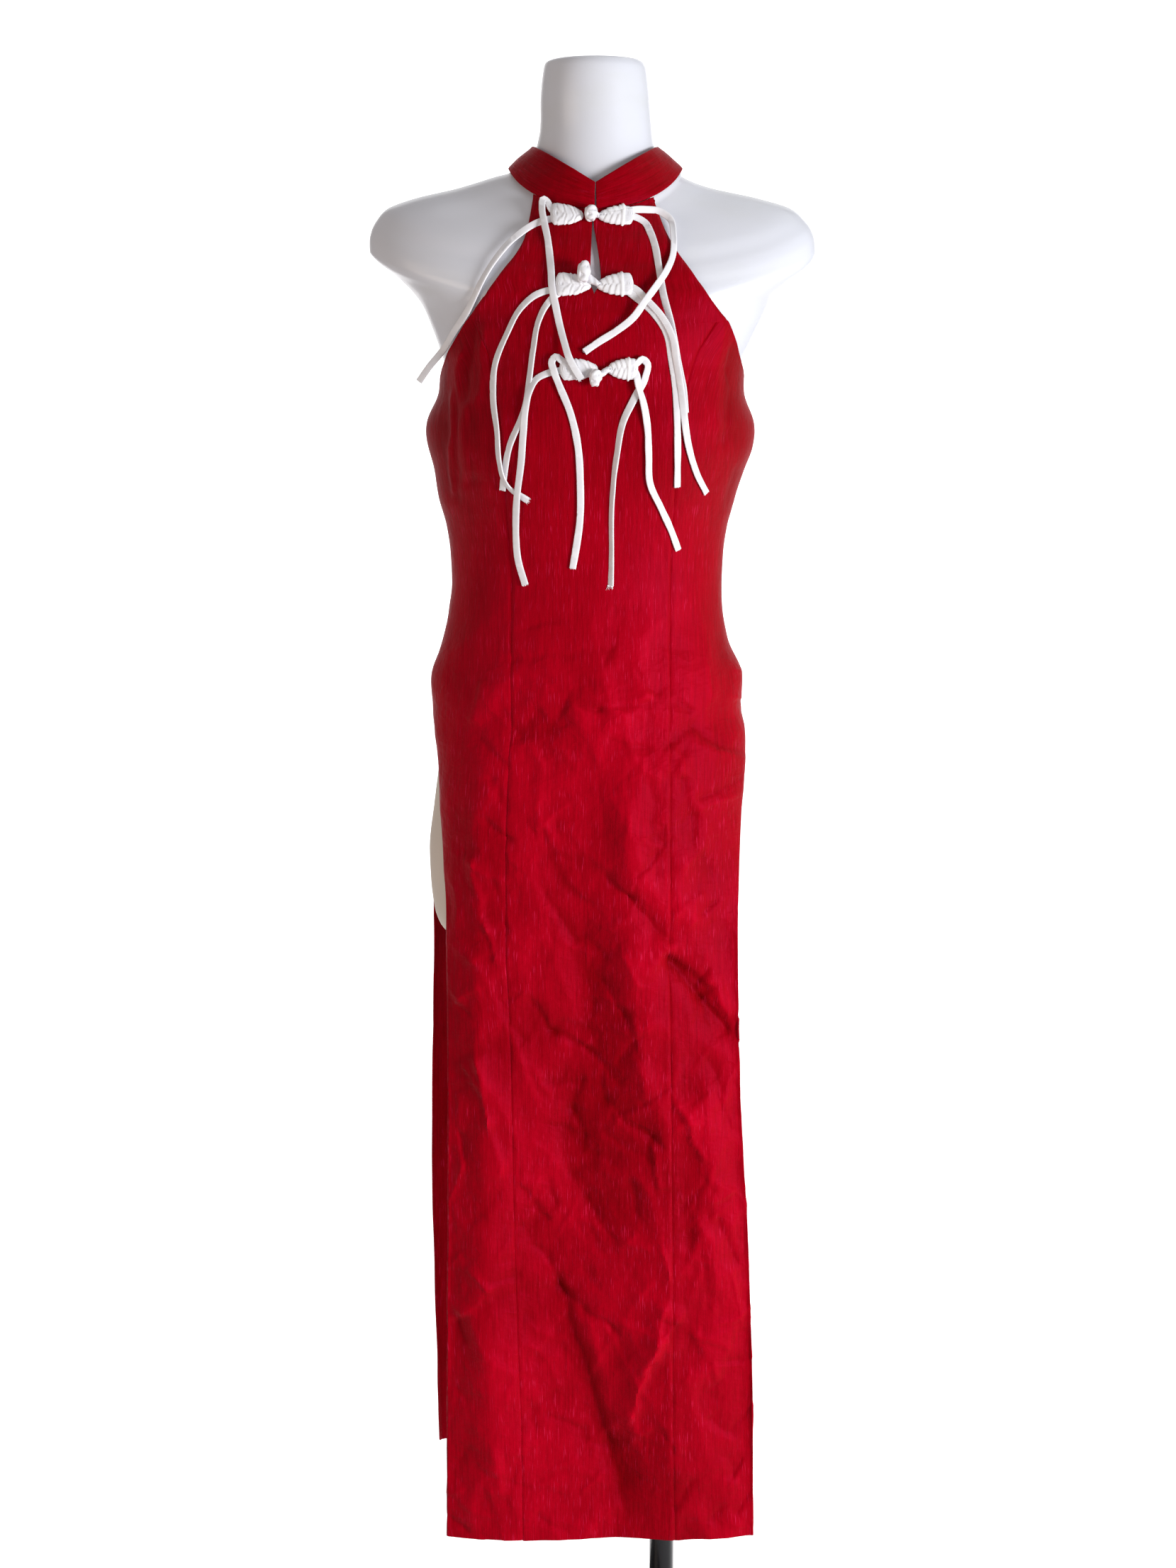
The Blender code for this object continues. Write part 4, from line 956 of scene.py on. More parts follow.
@cache
def white_satin():
    """Satin: a soft sheen, painted shade in its folds and hollows and painted highlight on its raised parts,
    random wear, and faint threads along the cord.
    """
    looks = bpy.context.scene.cheongsam_trim
    finish = Finish("white_satin")
    threads = finish.noise(uv=(40, 2600), detail=2.0)
    wear = finish.noise(space=(160, 160, 160), detail=3.0)
    # Painted shade and painted highlight from the fold the mesh holds, over random wear, pick between the
    # shade colour and the satin.
    share = finish.node("ShaderNodeClamp", None, finish.fold() + wear.between(0.3, 0.8) * 0.35 + 0.28)
    finish.set(
        Base_Color=finish.blend(share, looks.satin_shade, looks.satin),
        Roughness=0.30 + 0.14 * wear,
        Specular_IOR_Level=0.55,
        Sheen_Weight=0.15,
        Sheen_Roughness=0.3,
    )
    finish.bump(threads * 0.5 + wear * 0.8, 0.00018, 0.5)
    return finish.material


@cache
def form_shell():
    """A gloss shell above, a matter and warmer one at the hips, with faint scuffs."""
    looks = bpy.context.scene.cheongsam_form
    finish = Finish("form_shell")
    hip = 1.0 - finish.axis(2).between(0.93, 1.0)
    scuffs = finish.noise(space=(7, 7, 16), detail=5.0, roughness=0.65)
    grain = finish.noise(space=(420, 420, 420), detail=2.0)
    red, green, blue = looks.shell
    scuffed = (0.93 * red, 0.93 * green, 0.86 * blue)
    shell = finish.blend(scuffs.between(0.45, 0.8) * 0.45, looks.shell, scuffed)
    finish.set(
        Base_Color=finish.blend(hip, shell, looks.hip),
        Roughness=0.24 + 0.16 * scuffs + 0.3 * hip,
        Coat_Weight=0.25 - 0.25 * hip,
        Coat_Roughness=0.12,
        Specular_IOR_Level=0.5,
    )
    finish.bump(grain * 0.4 + scuffs * 1.5, 0.0004, 0.15)
    return finish.material


@cache
def black_metal():
    """Black gloss paint with a little orange peel and dust."""
    looks = bpy.context.scene.cheongsam_form
    finish = Finish("black_metal")
    peel = finish.noise(space=(300, 300, 300), detail=2.0)
    dust = finish.noise(space=(45, 45, 12), detail=4.0).between(0.5, 0.85)
    finish.set(
        Base_Color=finish.blend(dust * 0.25, looks.metal, (0.05, 0.05, 0.052)),
        Roughness=0.2 + 0.25 * dust,
        Coat_Weight=0.4,
        Coat_Roughness=0.08,
    )
    finish.bump(peel, 0.0002, 0.25)
    return finish.material


FINISHES = {
    "crimson_crepe": crimson_crepe,
    "white_satin": white_satin,
    "form_shell": form_shell,
    "black_metal": black_metal,
}


def panel_heights(top):
    """Nominal heights of a panel's rows, closer above the bust where a row's steps stretch."""
    grain = bpy.context.scene.cheongsam_dress.grain
    steps = np.linspace(PANEL_TOP, ARMHOLE_FOOT, round((PANEL_TOP - ARMHOLE_FOOT) / (grain * 0.8)) + 1)
    lower = np.linspace(ARMHOLE_FOOT, HEM, round((ARMHOLE_FOOT - HEM) / grain) + 1)
    steps = np.concatenate([steps, lower[1:]])
    return np.concatenate([[top], steps[steps < top - grain / 3]])


def sewing(kind, far, z, skirted):
    """How far the sewing moves the cloth's face out, this far from a seam or an edge."""
    if kind == "edge":
        hem = 0.0004 * bell(far, 0.0008, 0.0011) - 0.00015 * bell(far, 0.0065, 0.0008)
        return hem + 0.0006 * rumple(z / 0.035, 0 * z, 15) * bell(far, 0, 0.012) * skirted
    pucker = 0.00035 * rumple(z / 0.009, far / 0.02, 11) * bell(far, 0.003, 0.006)
    seam = pucker - 0.0009 * bell(far, 0, 0.0012)
    if kind == "pressed":
        seam = seam + 0.00028 * bell(far, 0.0036, 0.0007)
    return seam


def relief(points, run, front, seams):
    """How far the creases, the crumple and the sewing move the cloth's face out.

    run is each point's distance from its row's start, and seams says what ends the rows at their two ends.
    """
    looks = bpy.context.scene.cheongsam_dress
    x, z = points[..., 0], points[..., 2]
    # A crease wanders a little from its straight line.
    wander = [rumple(x / 0.017, z / 0.017, 3), 0 * x, rumple(x / 0.017, z / 0.017, 4)]
    bent = points + 0.003 * np.stack(wander, -1)
    placed = FRONT_CREASES if front else BACK_CREASES
    # Each large fold has a slight crease along it too.
    folds = FRONT_FOLDS if front else BACK_FOLDS
    edges = [(*line, width * 0.42, height * 0.16) for *line, width, height in folds]
    lift = looks.creases * (crease_lift(bent, placed) + crease_lift(bent, edges))
    small = 2.0 * crease_lift(bent, small_creases(230, 5 if front else 6))
    wave = 0.0026 * rumple(x / 0.044 + 0.4 * rumple(z / 0.12, x / 0.1, 8), z / 0.20, 5)
    facets = 0.0036 * (0.4 - np.abs(rumple(x / 0.034 + z / 0.09, z / 0.060 - x / 0.07, 6)))
    fine = 0.00045 * np.abs(rumple(x / 0.011 - z / 0.05, z / 0.019, 7))
    # The tight bodice keeps only a share of the skirt's crumple.
    skirted = np.clip((CRUMPLE["from"] - z) / CRUMPLE["over"], 0, 1)
    crumple = 0.0022 * bell(z, 0.97, 0.08)
    for rucks, kept in ((wave, 0.12), (facets, 0.10), (fine, 0.15), (small, 0.07)):
        crumple = crumple + rucks * (kept + (1 - kept) * skirted)
    lift = lift + looks.crumple * crumple
    for kind, far in zip(seams, (run, run[..., -1:] - run)):
        lift = lift + sewing(kind, far, z, skirted)
    return lift


def settle(lift, z):
    """Keeps the cloth off the form: a valley flattens out where the form is close behind."""
    room = np.interp(z, (0.76, 0.80, 0.83, 0.87, 0.94, 0.98), (0.05, 0.012, 0.009, 0.0052, 0.0027, 0.0017))
    return np.where(lift < 0, -room * (1 - np.exp(np.minimum(lift, 0) / room)), lift)


def cloth_panel(name, z, t, front, seams):
    """A panel's outer face on a grid primitive whose rows go down the cloth, at heights z and angles t."""
    z = np.repeat(z[:, None], t.shape[1], axis=1)
    obj, row, column = new_grid(name, *z.shape)
    base = cloth(z, t)
    run = run_along(base)
    # Near the sides a lift would move the outline, so the relief fades there.
    fading = 0.2 + 0.8 * np.clip(np.abs(np.cos(t)) / 0.4, 0, 1)
    fine = relief(base, run, front, seams) * fading
    large = fold_lift(base, FRONT_FOLDS if front else BACK_FOLDS)
    if front:
        large = large + plane_lift(base[..., 0], base[..., 2]) * fading
    total = settle(large + fine, base[..., 2])
    points = lifted(cloth, z, t, total + bpy.context.scene.cheongsam_dress.cloth)
    # The hem is not quite even.
    points[-1, :, 2] += 0.0006 * rumple(run[-1] / 0.03, 0 * run[-1], 21)
    # The cloth's threads run straight down from the column that is nearest the middle.
    straight = np.abs(base[-1, :, 0]).argmin()
    uv = np.stack([run - run[:, straight, None] + PATCH_OF_CLOTH.get(name, 0.0), base[..., 2]], axis=-1)
    # The fine relief's lift goes on the mesh too, for the crepe's painted highlight on ridges and painted
    # shade in creases and seams.
    place(obj, points[row, column], uv[row, column], fine[row, column])
    return obj


def finish_cloth(obj, thickness, node, edge=0.0004):
    """Gives a panel its thickness, with rounded edges."""
    apply(obj, "SOLIDIFY", thickness=thickness, offset=-1, use_rim=True)
    apply(obj, "BEVEL", width=edge, segments=2, limit_method="ANGLE", angle_limit=math.radians(60))
    soften(obj, 50)
    hand_over(obj, "crimson_crepe", node)


def outer_panel(name, z, seam, edge, columns, front, edge_first):
    """A panel between a seam and the dress's outer edge."""
    ends = (edge, seam) if edge_first else (seam, edge)
    kinds = ("edge", "princess") if edge_first else ("princess", "edge")
    obj = cloth_panel(name, z, between(*ends, columns), front, kinds)
    finish_cloth(obj, bpy.context.scene.cheongsam_dress.cloth, name)
    return obj


def between(left, right, columns):
    """Angles of a panel's columns between its two edges."""
    places = np.linspace(0, 1, columns)
    return left[:, None] * (1 - places) + right[:, None] * places


def outer_edge(side, z, front):
    """The angle of a panel's outer edge: the armhole above, the side seam or slit edge below."""
    armhole = np.abs(edge_angle(ARMHOLE, side, z, 0.0, front))
    t = np.where(z <= ARMHOLE_FOOT, SIDE_SEAM, np.minimum(SIDE_SEAM, armhole))
    return t if side == "right" else -t


class CHEONGSAM_OT_ties(Operator):
    """Twelve flat satin cords with cut ends, laid on the front"""

    bl_idname = "cheongsam.ties"
    bl_label = "Ties"

    def execute(self, context):
        looks = context.scene.cheongsam_trim
        for number, (name, route) in enumerate(TIES.items()):
            path, turn = tie_path(name, route)
            obj = satin_cord(name, path, turn, looks.tie_width, looks.tie_thick, number)
            ends = [obj] + frayed_end(name, path, LONG_FRAYS.get(name, looks.fray), number)
            only(obj)
            for piece in ends:
                piece.select_set(True)
            bpy.ops.object.join()
            soften(obj, 60)
            hand_over(obj, "white_satin", name)
        return {"FINISHED"}


def tie_path(name, route):
    """A tie's centreline and, at each of its points, how far the cord is turned on its edge."""
    looks = bpy.context.scene.cheongsam_trim
    x, z, lift, turn = np.array(route).T
    points = on_front(x * MM, z * MM, lift * MM + looks.tie_thick / 2 - 0.0001)
    ends = np.array(HANGING_ENDS.get(name, np.zeros((0, 3)))) * MM
    turn = np.concatenate([turn, np.full(len(ends), turn[-1])])
    both = smooth_path(np.column_stack([np.concatenate([points, ends]), turn]), TIE_STEP)
    return both[:, :3], np.radians(both[:, 3])


def bulging(value, power):
    """A sine or cosine whose curve is blunted towards a square one by a low power."""
    return np.sign(value) * np.abs(value) ** power


def satin_cord(name, path, turn, width, thick, seed):
    """A flat cord with round edges along a path, with small creases across it."""
    tangent = unit(np.gradient(path, axis=0))
    out = AHEAD + np.clip(path[:, :1] / 0.2, -0.7, 0.7) * [1.0, 0.0, 0.0]
    out = unit(out - tangent * (out * tangent).sum(1, keepdims=True))
    across = np.cross(tangent, out)
    c, s = np.cos(turn)[:, None], np.sin(turn)[:, None]
    out, across = out * c + across * s, across * c - out * s
    angle = 2 * math.pi * np.arange(CORD_SEGMENTS) / CORD_SEGMENTS
    run = np.arange(len(path)) * TIE_STEP
    swell = 1 + 0.06 * rumple(run / 0.012, 0 * run, 30 + seed)
    dent = 0.12 * rumple(run / 0.007, 0 * run, 50 + seed)
    wide = bulging(np.cos(angle), 0.45) * (width / 2 * swell)[:, None]
    high = bulging(np.sin(angle), 0.5) * (thick / 2 * (1 + dent))[:, None]
    offsets = across[:, None, :] * wide[..., None] + out[:, None, :] * high[..., None]
    obj, inner, segment, points = new_tube(name, path, offsets)
    uv = np.stack([segment / CORD_SEGMENTS * 0.012, run[inner]], axis=-1)
    # The dents go on the mesh as a fold, for painted shade in the thinner places and painted highlight on
    # the fuller ones.
    place(obj, points, uv, 0.25 * dent[inner] + 0.1)
    outwards(obj)
    return obj


def frayed_end(name, path, reach, seed):
    """Loose threads at a tie's cut end."""
    tangent = unit(path[-1] - path[-4])
    side = unit(np.cross(tangent, AHEAD))
    angle = 2 * math.pi * np.arange(FRAY_SIDES) / FRAY_SIDES
    circle = np.cos(angle)[:, None] * side + np.sin(angle)[:, None] * AHEAD
    share = np.linspace(0, 1, FRAY_POINTS)[:, None]
    radius = FRAY_RADIUS * (1 - 0.75 * share)
    rng = np.random.default_rng(400 + seed)
    threads = []
    for index in range(FRAY_THREADS):
        off = (index / (FRAY_THREADS - 1) - 0.5) * bpy.context.scene.cheongsam_trim.tie_width * 0.8
        length = reach * rng.uniform(0.5, 1.0)
        bend = rng.uniform(-0.5, 0.5) * length
        lean = rng.uniform(-0.25, 0.25) * length
        line = path[-1] + side * off + tangent * (length * share - 0.0006) + side * (bend * share**2)
        line = line + AHEAD * (lean * share**2)
        obj, inner, _, points = new_tube(f"{name}_thread_{index}", line, radius[..., None] * circle)
        place(obj, points, fold=np.full(len(inner), 0.1))
        outwards(obj)
        threads.append(obj)
    return threads


class CHEONGSAM_OT_front(Operator):
    """The front's middle panel with its keyhole, and its side panels"""

    bl_idname = "cheongsam.front"
    bl_label = "Front panels"

    def execute(self, context):
        self.middle()
        z = panel_heights(SIDE_TOP)
        z[0] += SIDE_TOP_LAP
        for side, sign in (("left", -1), ("right", 1)):
            seam = edge_angle(PRINCESS_SEAM, side, z, -sign * SEAM_LAP / 2)
            edge = outer_edge(side, z, True)
            obj = outer_panel(f"front_side_{side}", z, seam, edge, COLUMNS["side"], True, side == "left")
        return {"FINISHED"}

    def middle(self):
        columns = COLUMNS["middle"]
        z = panel_heights(PANEL_TOP)
        cuts = {}
        for side, sign, inner in (("left", -1, np.maximum), ("right", 1, np.minimum)):
            armhole = edge_angle(ARMHOLE, side, z)
            seam = edge_angle(PRINCESS_SEAM, side, z, sign * SEAM_LAP / 2)
            cuts[side] = np.where(z > SIDE_TOP, armhole, inner(armhole, seam))
        actual = z - FORM.at("front_drop", z)
        middle, half = KEYHOLE.at("middle", actual), KEYHOLE.at("half", actual)
        left = between(cuts["left"], angle_at(middle - half, z), columns)
        right = between(angle_at(middle + half, z), cuts["right"], columns)
        t = np.concatenate([left, right], axis=1)
        obj = cloth_panel("front_centre", z, t, True, ("princess", "pressed"))
        # The faces between the keyhole's two lips go, and the lips are joined below it.
        across = t.shape[1] - 1
        pick(obj, "FACE", lambda face: face.index % across == columns - 1)
        bpy.ops.mesh.delete(type="FACE")
        bpy.ops.mesh.select_mode(type="VERT")
        bpy.ops.mesh.select_all(action="SELECT")
        bpy.ops.mesh.remove_doubles(threshold=0.00004)
        bpy.ops.object.mode_set(mode="OBJECT")
        finish_cloth(obj, bpy.context.scene.cheongsam_dress.cloth, "front_centre")


class CHEONGSAM_OT_back(Operator):
    """The two back panels, joined at the centre back"""

    bl_idname = "cheongsam.back"
    bl_label = "Back panels"

    def execute(self, context):
        z = panel_heights(PANEL_TOP)
        centre = FORM.at("centre", z) * (1 - skirt_share(z))
        for side, sign in (("right", 1), ("left", -1)):
            seam = math.pi - angle_at(centre - sign * SEAM_LAP / 2, z, False)
            edge = math.pi - outer_edge(side, z, False)
            obj = outer_panel(f"back_{side}", z, seam, edge, COLUMNS["back"], False, side == "right")
        return {"FINISHED"}


def collar_surface(share, t):
    """Points of the collar's inner face, from its seam at 0 to its top edge at 1."""
    seam = lifted(form_surface, np.full_like(t, COLLAR_SEAM), t, np.full_like(t, CLEARANCE))
    fore = np.cos(t)
    depth = np.where(fore > 0, COLLAR_TOP["front"], COLLAR_TOP["back"])
    notch = COLLAR_TOP["notch"] * (1 - np.abs(np.sin(t)))
    nape = COLLAR_TOP["nape"] * np.abs(fore)
    top = np.stack(
        [
            COLLAR_TOP["centre"] + COLLAR_TOP["half"] * np.sin(t),
            -depth * fore,
            COLLAR_TOP["z"] + np.where(fore > 0, -notch, nape),
        ],
        axis=-1,
    )
    share = share[..., None]
    bulge = 0.0012 * np.sin(math.pi * share) * np.stack([np.sin(t), -fore, 0 * t], axis=-1)
    return seam * (1 - share) + top * share + bulge


class CHEONGSAM_OT_collar(Operator):
    """The standing collar, open at the centre front"""

    bl_idname = "cheongsam.collar"
    bl_label = "Collar"

    def execute(self, context):
        looks = context.scene.cheongsam_dress
        rows, columns = 16, 260
        opening = COLLAR_OPENING / 2 / COLLAR_TOP["half"]
        t = np.linspace(opening, 2 * math.pi - opening, columns)
        t, share = np.meshgrid(t, np.linspace(1, 0, rows))
        inner = collar_surface(share, t)
        x, z = inner[..., 0], inner[..., 2]
        puff = 0.0003 * rumple(x / 0.012, z / 0.010, 41) + 0.0002 * rumple(x / 0.005, z / 0.006, 42)
        puff = puff + 0.0003 * bell(share, 0.97, 0.05) - 0.0004 * bell(share, 0.0, 0.05)
        obj, row, column = new_grid("collar", rows, columns)
        points = lifted(collar_surface, share, t, looks.band + puff)
        # The band is cut along the cloth's threads, so they run round the neck.
        uv = np.stack([share * COLLAR_HEIGHT + PATCH_OF_CLOTH["collar"], run_along(inner)], axis=-1)
        # The puff goes on the mesh too, for painted highlight along the collar's top and painted shade along
        # its seam.
        place(obj, points[row, column], uv[row, column], puff[row, column])
        finish_cloth(obj, looks.band, "collar", edge=0.0006)
        return {"FINISHED"}


def pad(name, start, end, tall, thick, lift, bumps, rings, segments):
    """A rounded pad that lies on the front from start to end, each an x and a height.

    tall and thick give its size at each share of its length, and bumps the relief at a share and a side.
    """
    obj, ring, segment = new_ball(name, rings, segments)
    share = (1 - np.cos(math.pi * ring / rings)) / 2
    turn = 2 * math.pi * segment / segments
    start, end = np.array(start), np.array(end)
    along = end - start
    up = unit(np.array([-along[1], along[0]]))
    up = up if up[1] >= 0 else -up
    side = np.sin(turn)
    raised = bumps(share, side)
    face = np.clip(np.cos(turn) * 2.5, 0, 1)
    rise = tall(share) * side * (1 + 0.09 * raised / 0.0006 * (1 - face))
    above = lift + thick(share) / 2 * (1 + bulging(np.cos(turn), 0.8))
    above = above + raised * face
    x = start[0] + along[0] * share + up[0] * rise
    z = start[1] + along[1] * share + up[1] * rise
    # The relief goes on the mesh as a fold, for painted highlight on the raised pleats, plaits and curls and
    # painted shade on the flat parts and in the curls' eyes.
    place(obj, on_front(x, z, above), np.stack([share * 0.03, side * 0.008], -1), raised / 0.0012 - 0.2)
    outwards(obj)
    return obj


def tapered(share, side_size=1.0):
    """A frog half's size at each share of its length, rounded off at both ends."""
    size = np.interp(share, FROG_SHARE, FROG_SIZE)
    ends = np.sqrt(np.clip(1 - (2 * np.abs(share - 0.5)) ** 9, 0, 1))
    return side_size * size * ends


def curls(share, side, length):
    """The rings of cord at a frog half's outer end, round a small eye."""
    far = np.hypot((share - 0.79) * length, side * FROG_HEIGHT / 2 * 0.98)
    ring = 0.5 + 0.5 * np.cos(2 * math.pi * far / 0.0018)
    eye = -0.0011 * bell(far, 0, 0.0012)
    return 0.00055 * ring + eye


def plaits(share, side, length):
    """Leaves that cross from the two edges and overlap down the middle."""
    count = bpy.context.scene.cheongsam_trim.leaves
    upper = side > 0.16 * np.sin(2 * math.pi * share * count)
    step = share * count * 1.25 + 0.55 * np.abs(side) + np.where(upper, 0.0, 0.5)
    leaf = step % 1.0
    height = 0.0009 * (1 - leaf) ** 0.8 * np.clip(leaf / 0.10, 0, 1)
    ridge = 0.0003 * np.sin(math.pi * np.abs(side))
    outer = np.clip((share - 0.71) / 0.03, 0, 1)
    band = 0.0012 * np.clip((0.045 - np.abs(share - 0.675)) / 0.012, 0, 1)
    return np.maximum((height + ridge) * (1 - outer) + curls(share, side, length) * outer, band)


def pleats(share, side, length):
    """Flat folds that slant from the upper edge, and shorter ones from the lower edge."""
    count = bpy.context.scene.cheongsam_trim.pleats
    upper = side > -0.15 + 0.25 * np.sin(2 * math.pi * share * 2.2)
    step = share * count * 1.2 + np.where(upper, -0.75 * side, 1.1 * side + 0.4)
    step = step + 0.2 * np.sin(share * 23)
    fold = step % 1.0
    height = 0.0010 * fold**1.3 * np.clip((1 - fold) / 0.12, 0, 1)
    outer = np.clip((share - 0.74) / 0.05, 0, 1) * np.clip(3.4 - 3 * np.abs(side), 0, 1)
    return height * (1 - outer) + curls(share, side, length) * outer


class CHEONGSAM_OT_frogs(Operator):
    """Three frog fastenings: a pleated half with the loop, a plaited half and the knot"""

    bl_idname = "cheongsam.frogs"
    bl_label = "Frogs"

    def execute(self, context):
        for place_name, frog in FROGS.items():
            z = frog["z"] * MM
            for half, bumps in (("loop", pleats), ("braid", plaits)):
                start, end = (value * MM for value in frog[half])
                tilt = frog["tilt"] * (1 if half == "braid" else -1)
                length = abs(end - start)
                name = f"frog_{place_name}_{half}_half"
                obj = pad(
                    name, (start, z), (end, z + tilt * (end - start)),
                    lambda share: tapered(share, FROG_HEIGHT / 2),
                    lambda share: FROG_THICK * 0.86 * (0.35 + 0.65 * tapered(share)),
                    FROG_GAP,
                    lambda share, side, bumps=bumps, length=length: bumps(share, side, length),
                    60, 44,
                )
                soften(obj, 75)
                hand_over(obj, "white_satin", name)
            self.knot(place_name, frog)
        return {"FINISHED"}

    def knot(self, place_name, frog):
        x, z, lift = (value * MM for value in frog["knot"])
        name = f"frog_{place_name}_knot"
        rings, segments = 40, 48
        ball, ring, segment = new_ball(name, rings, segments)
        polar, turn = math.pi * ring / rings, 2 * math.pi * segment / segments
        flat = np.sin(polar)
        round_face = np.stack([flat * np.cos(turn), flat * np.sin(turn), np.cos(polar)], -1)
        raised = np.zeros(len(round_face))
        for order, (tip, lean, off) in enumerate(KNOT_TURNS):
            tip, lean = math.radians(tip), math.radians(lean)
            axis = [math.sin(tip) * math.cos(lean), math.sin(tip) * math.sin(lean), math.cos(tip)]
            far = np.abs(round_face @ np.array(axis) - off) / 0.34
            strip = np.sqrt(np.clip(1 - far**2, 0, 1)) * (0.16 + 0.035 * order)
            raised = np.maximum(raised, strip)
        size = 0.86 + raised
        across, up, ahead = (round_face.T * size * np.array(KNOT_SIZE)[:, None]) / 2
        lift = lift + FROG_GAP
        above = np.maximum(lift, lift + KNOT_SIZE[2] / 2 - ahead)
        # The raised turns go on the mesh as a fold, for painted highlight on them and painted shade between
        # them.
        place(ball, on_front(x + across, z + up, above), round_face[:, :2] * 0.006, raised * 2.4 - 0.25)
        outwards(ball)
        end = np.array(frog["neck"]) * MM
        neck = pad(
            name + "_neck", (x, z), tuple(end),
            lambda share: 0.0031 - 0.0006 * share,
            lambda share: 0.0052,
            (lift - FROG_GAP) * 0.4 + FROG_GAP,
            lambda share, side: 0.0004 * np.sin(share * 17 + side * 2),
            24, 20,
        )
        only(ball)
        neck.select_set(True)
        bpy.ops.object.join()
        soften(ball, 70)
        hand_over(ball, "white_satin", name)


FORM_SEGMENTS = 144
ROUNDED_TOP = (1.5231, 1.5226, 1.5218, 1.520, 1.518, 1.516)
ROUNDED_FOOT = (0.747, 0.7458)
# Stretches of the form's wall: from one nominal height down to another, and the rings in it.
FORM_RINGS = ((1.516, 1.467, 10), (1.467, 1.36, 56), (1.36, 1.20, 40), (1.20, 0.80, 74), (0.80, 0.7485, 16))


class CHEONGSAM_OT_form(Operator):
    """The limbless dress form"""

    bl_idname = "cheongsam.form"
    bl_label = "Dress form"

    def execute(self, context):
        top, foot = FORM.heights[-1], FORM.heights[0]
        heights = [[top, *ROUNDED_TOP]]
        heights += [np.linspace(high, low, count)[1:] for high, low, count in FORM_RINGS]
        heights = np.concatenate([*heights, [*ROUNDED_FOOT, foot]])
        # Rings that close the flat top and underside come before and after the walls.
        caps = np.array([0.35, 0.7, 0.93])
        z = np.concatenate([np.full(3, top), heights, np.full(3, foot)])
        scale = np.concatenate([caps, np.ones(len(heights)), caps[::-1]])
        obj, ring, segment = new_ball("form_torso", len(z) + 1, FORM_SEGMENTS)
        t = 2 * math.pi * segment / FORM_SEGMENTS
        inner = np.clip(ring - 1, 0, len(z) - 1)
        size = np.where((ring == 0) | (ring == len(z) + 1), 0.0, scale[inner])
        points = form_surface(z[inner], t)
        middle = np.stack([FORM.at("centre", z[inner]), 0 * t, points[:, 2]], -1)
        points = middle + (points - middle) * size[:, None]
        points[:, 2] += np.where(z[inner] == top, 0.0006 * (1 - size**2), 0)
        place(obj, points)
        outwards(obj)
        soften(obj, 50)
        hand_over(obj, "form_shell", "form_torso")
        return {"FINISHED"}


class CHEONGSAM_OT_stand(Operator):
    """The pole with its flange and hub, and the round base plate"""

    bl_idname = "cheongsam.stand"
    bl_label = "Stand"

    def execute(self, context):
        for node, rim in STAND_RIMS.items():
            low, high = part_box(node)
            centre = (0.0, 0.0) if node == "stand_base" else POLE_PLACE
            obj, _ = new_primitive(
                node + "_turned", bpy.ops.mesh.primitive_cylinder_add, vertices=96,
                radius=(high[0] - low[0]) / 2, depth=high[2] - low[2],
                location=(*centre, (low[2] + high[2]) / 2),
            )
            bpy.ops.object.transform_apply(location=True, rotation=True, scale=True)
            apply(obj, "BEVEL", width=rim, segments=4, limit_method="ANGLE", angle_limit=math.radians(50))
            soften(obj, 35)
            hand_over(obj, "black_metal", node)
        return {"FINISHED"}


CAMERA = {"place": (0.001, -2.2, 1.258), "down": 9.64}
COOL, WARM = (0.94, 0.96, 1.0), (1.0, 0.80, 0.64)
# Each light's power and its share of that, its colour and width, where it hangs and what it faces.
LIGHTS = {
    "key": ("key", 1.0, COOL, 1.0, (2.15, -1.75, 0.95), (0.0, 0.0, 0.95)),
    "fill": ("fill", 2.1, WARM, 1.6, (-2.1, -1.6, 1.3), (0.0, 0.0, 1.0)),
    "top": ("fill", 1.0, COOL, 1.6, (0.3, 0.6, 3.0), (0.0, 0.0, 1.2)),
}
# The backdrop stands up behind the floor's far edge, which lies past far.
BACKDROP = {"size": 9.0, "middle": (0.0, -0.7, 0.0), "far": 3.0, "rise": 5.0, "bend": 1.2}
# Where the backdrop's glowing fan starts in y, and how fast each of its sides spreads in x.
GLOW_TIP, GLOW_SLOPE = -2.2, 0.26


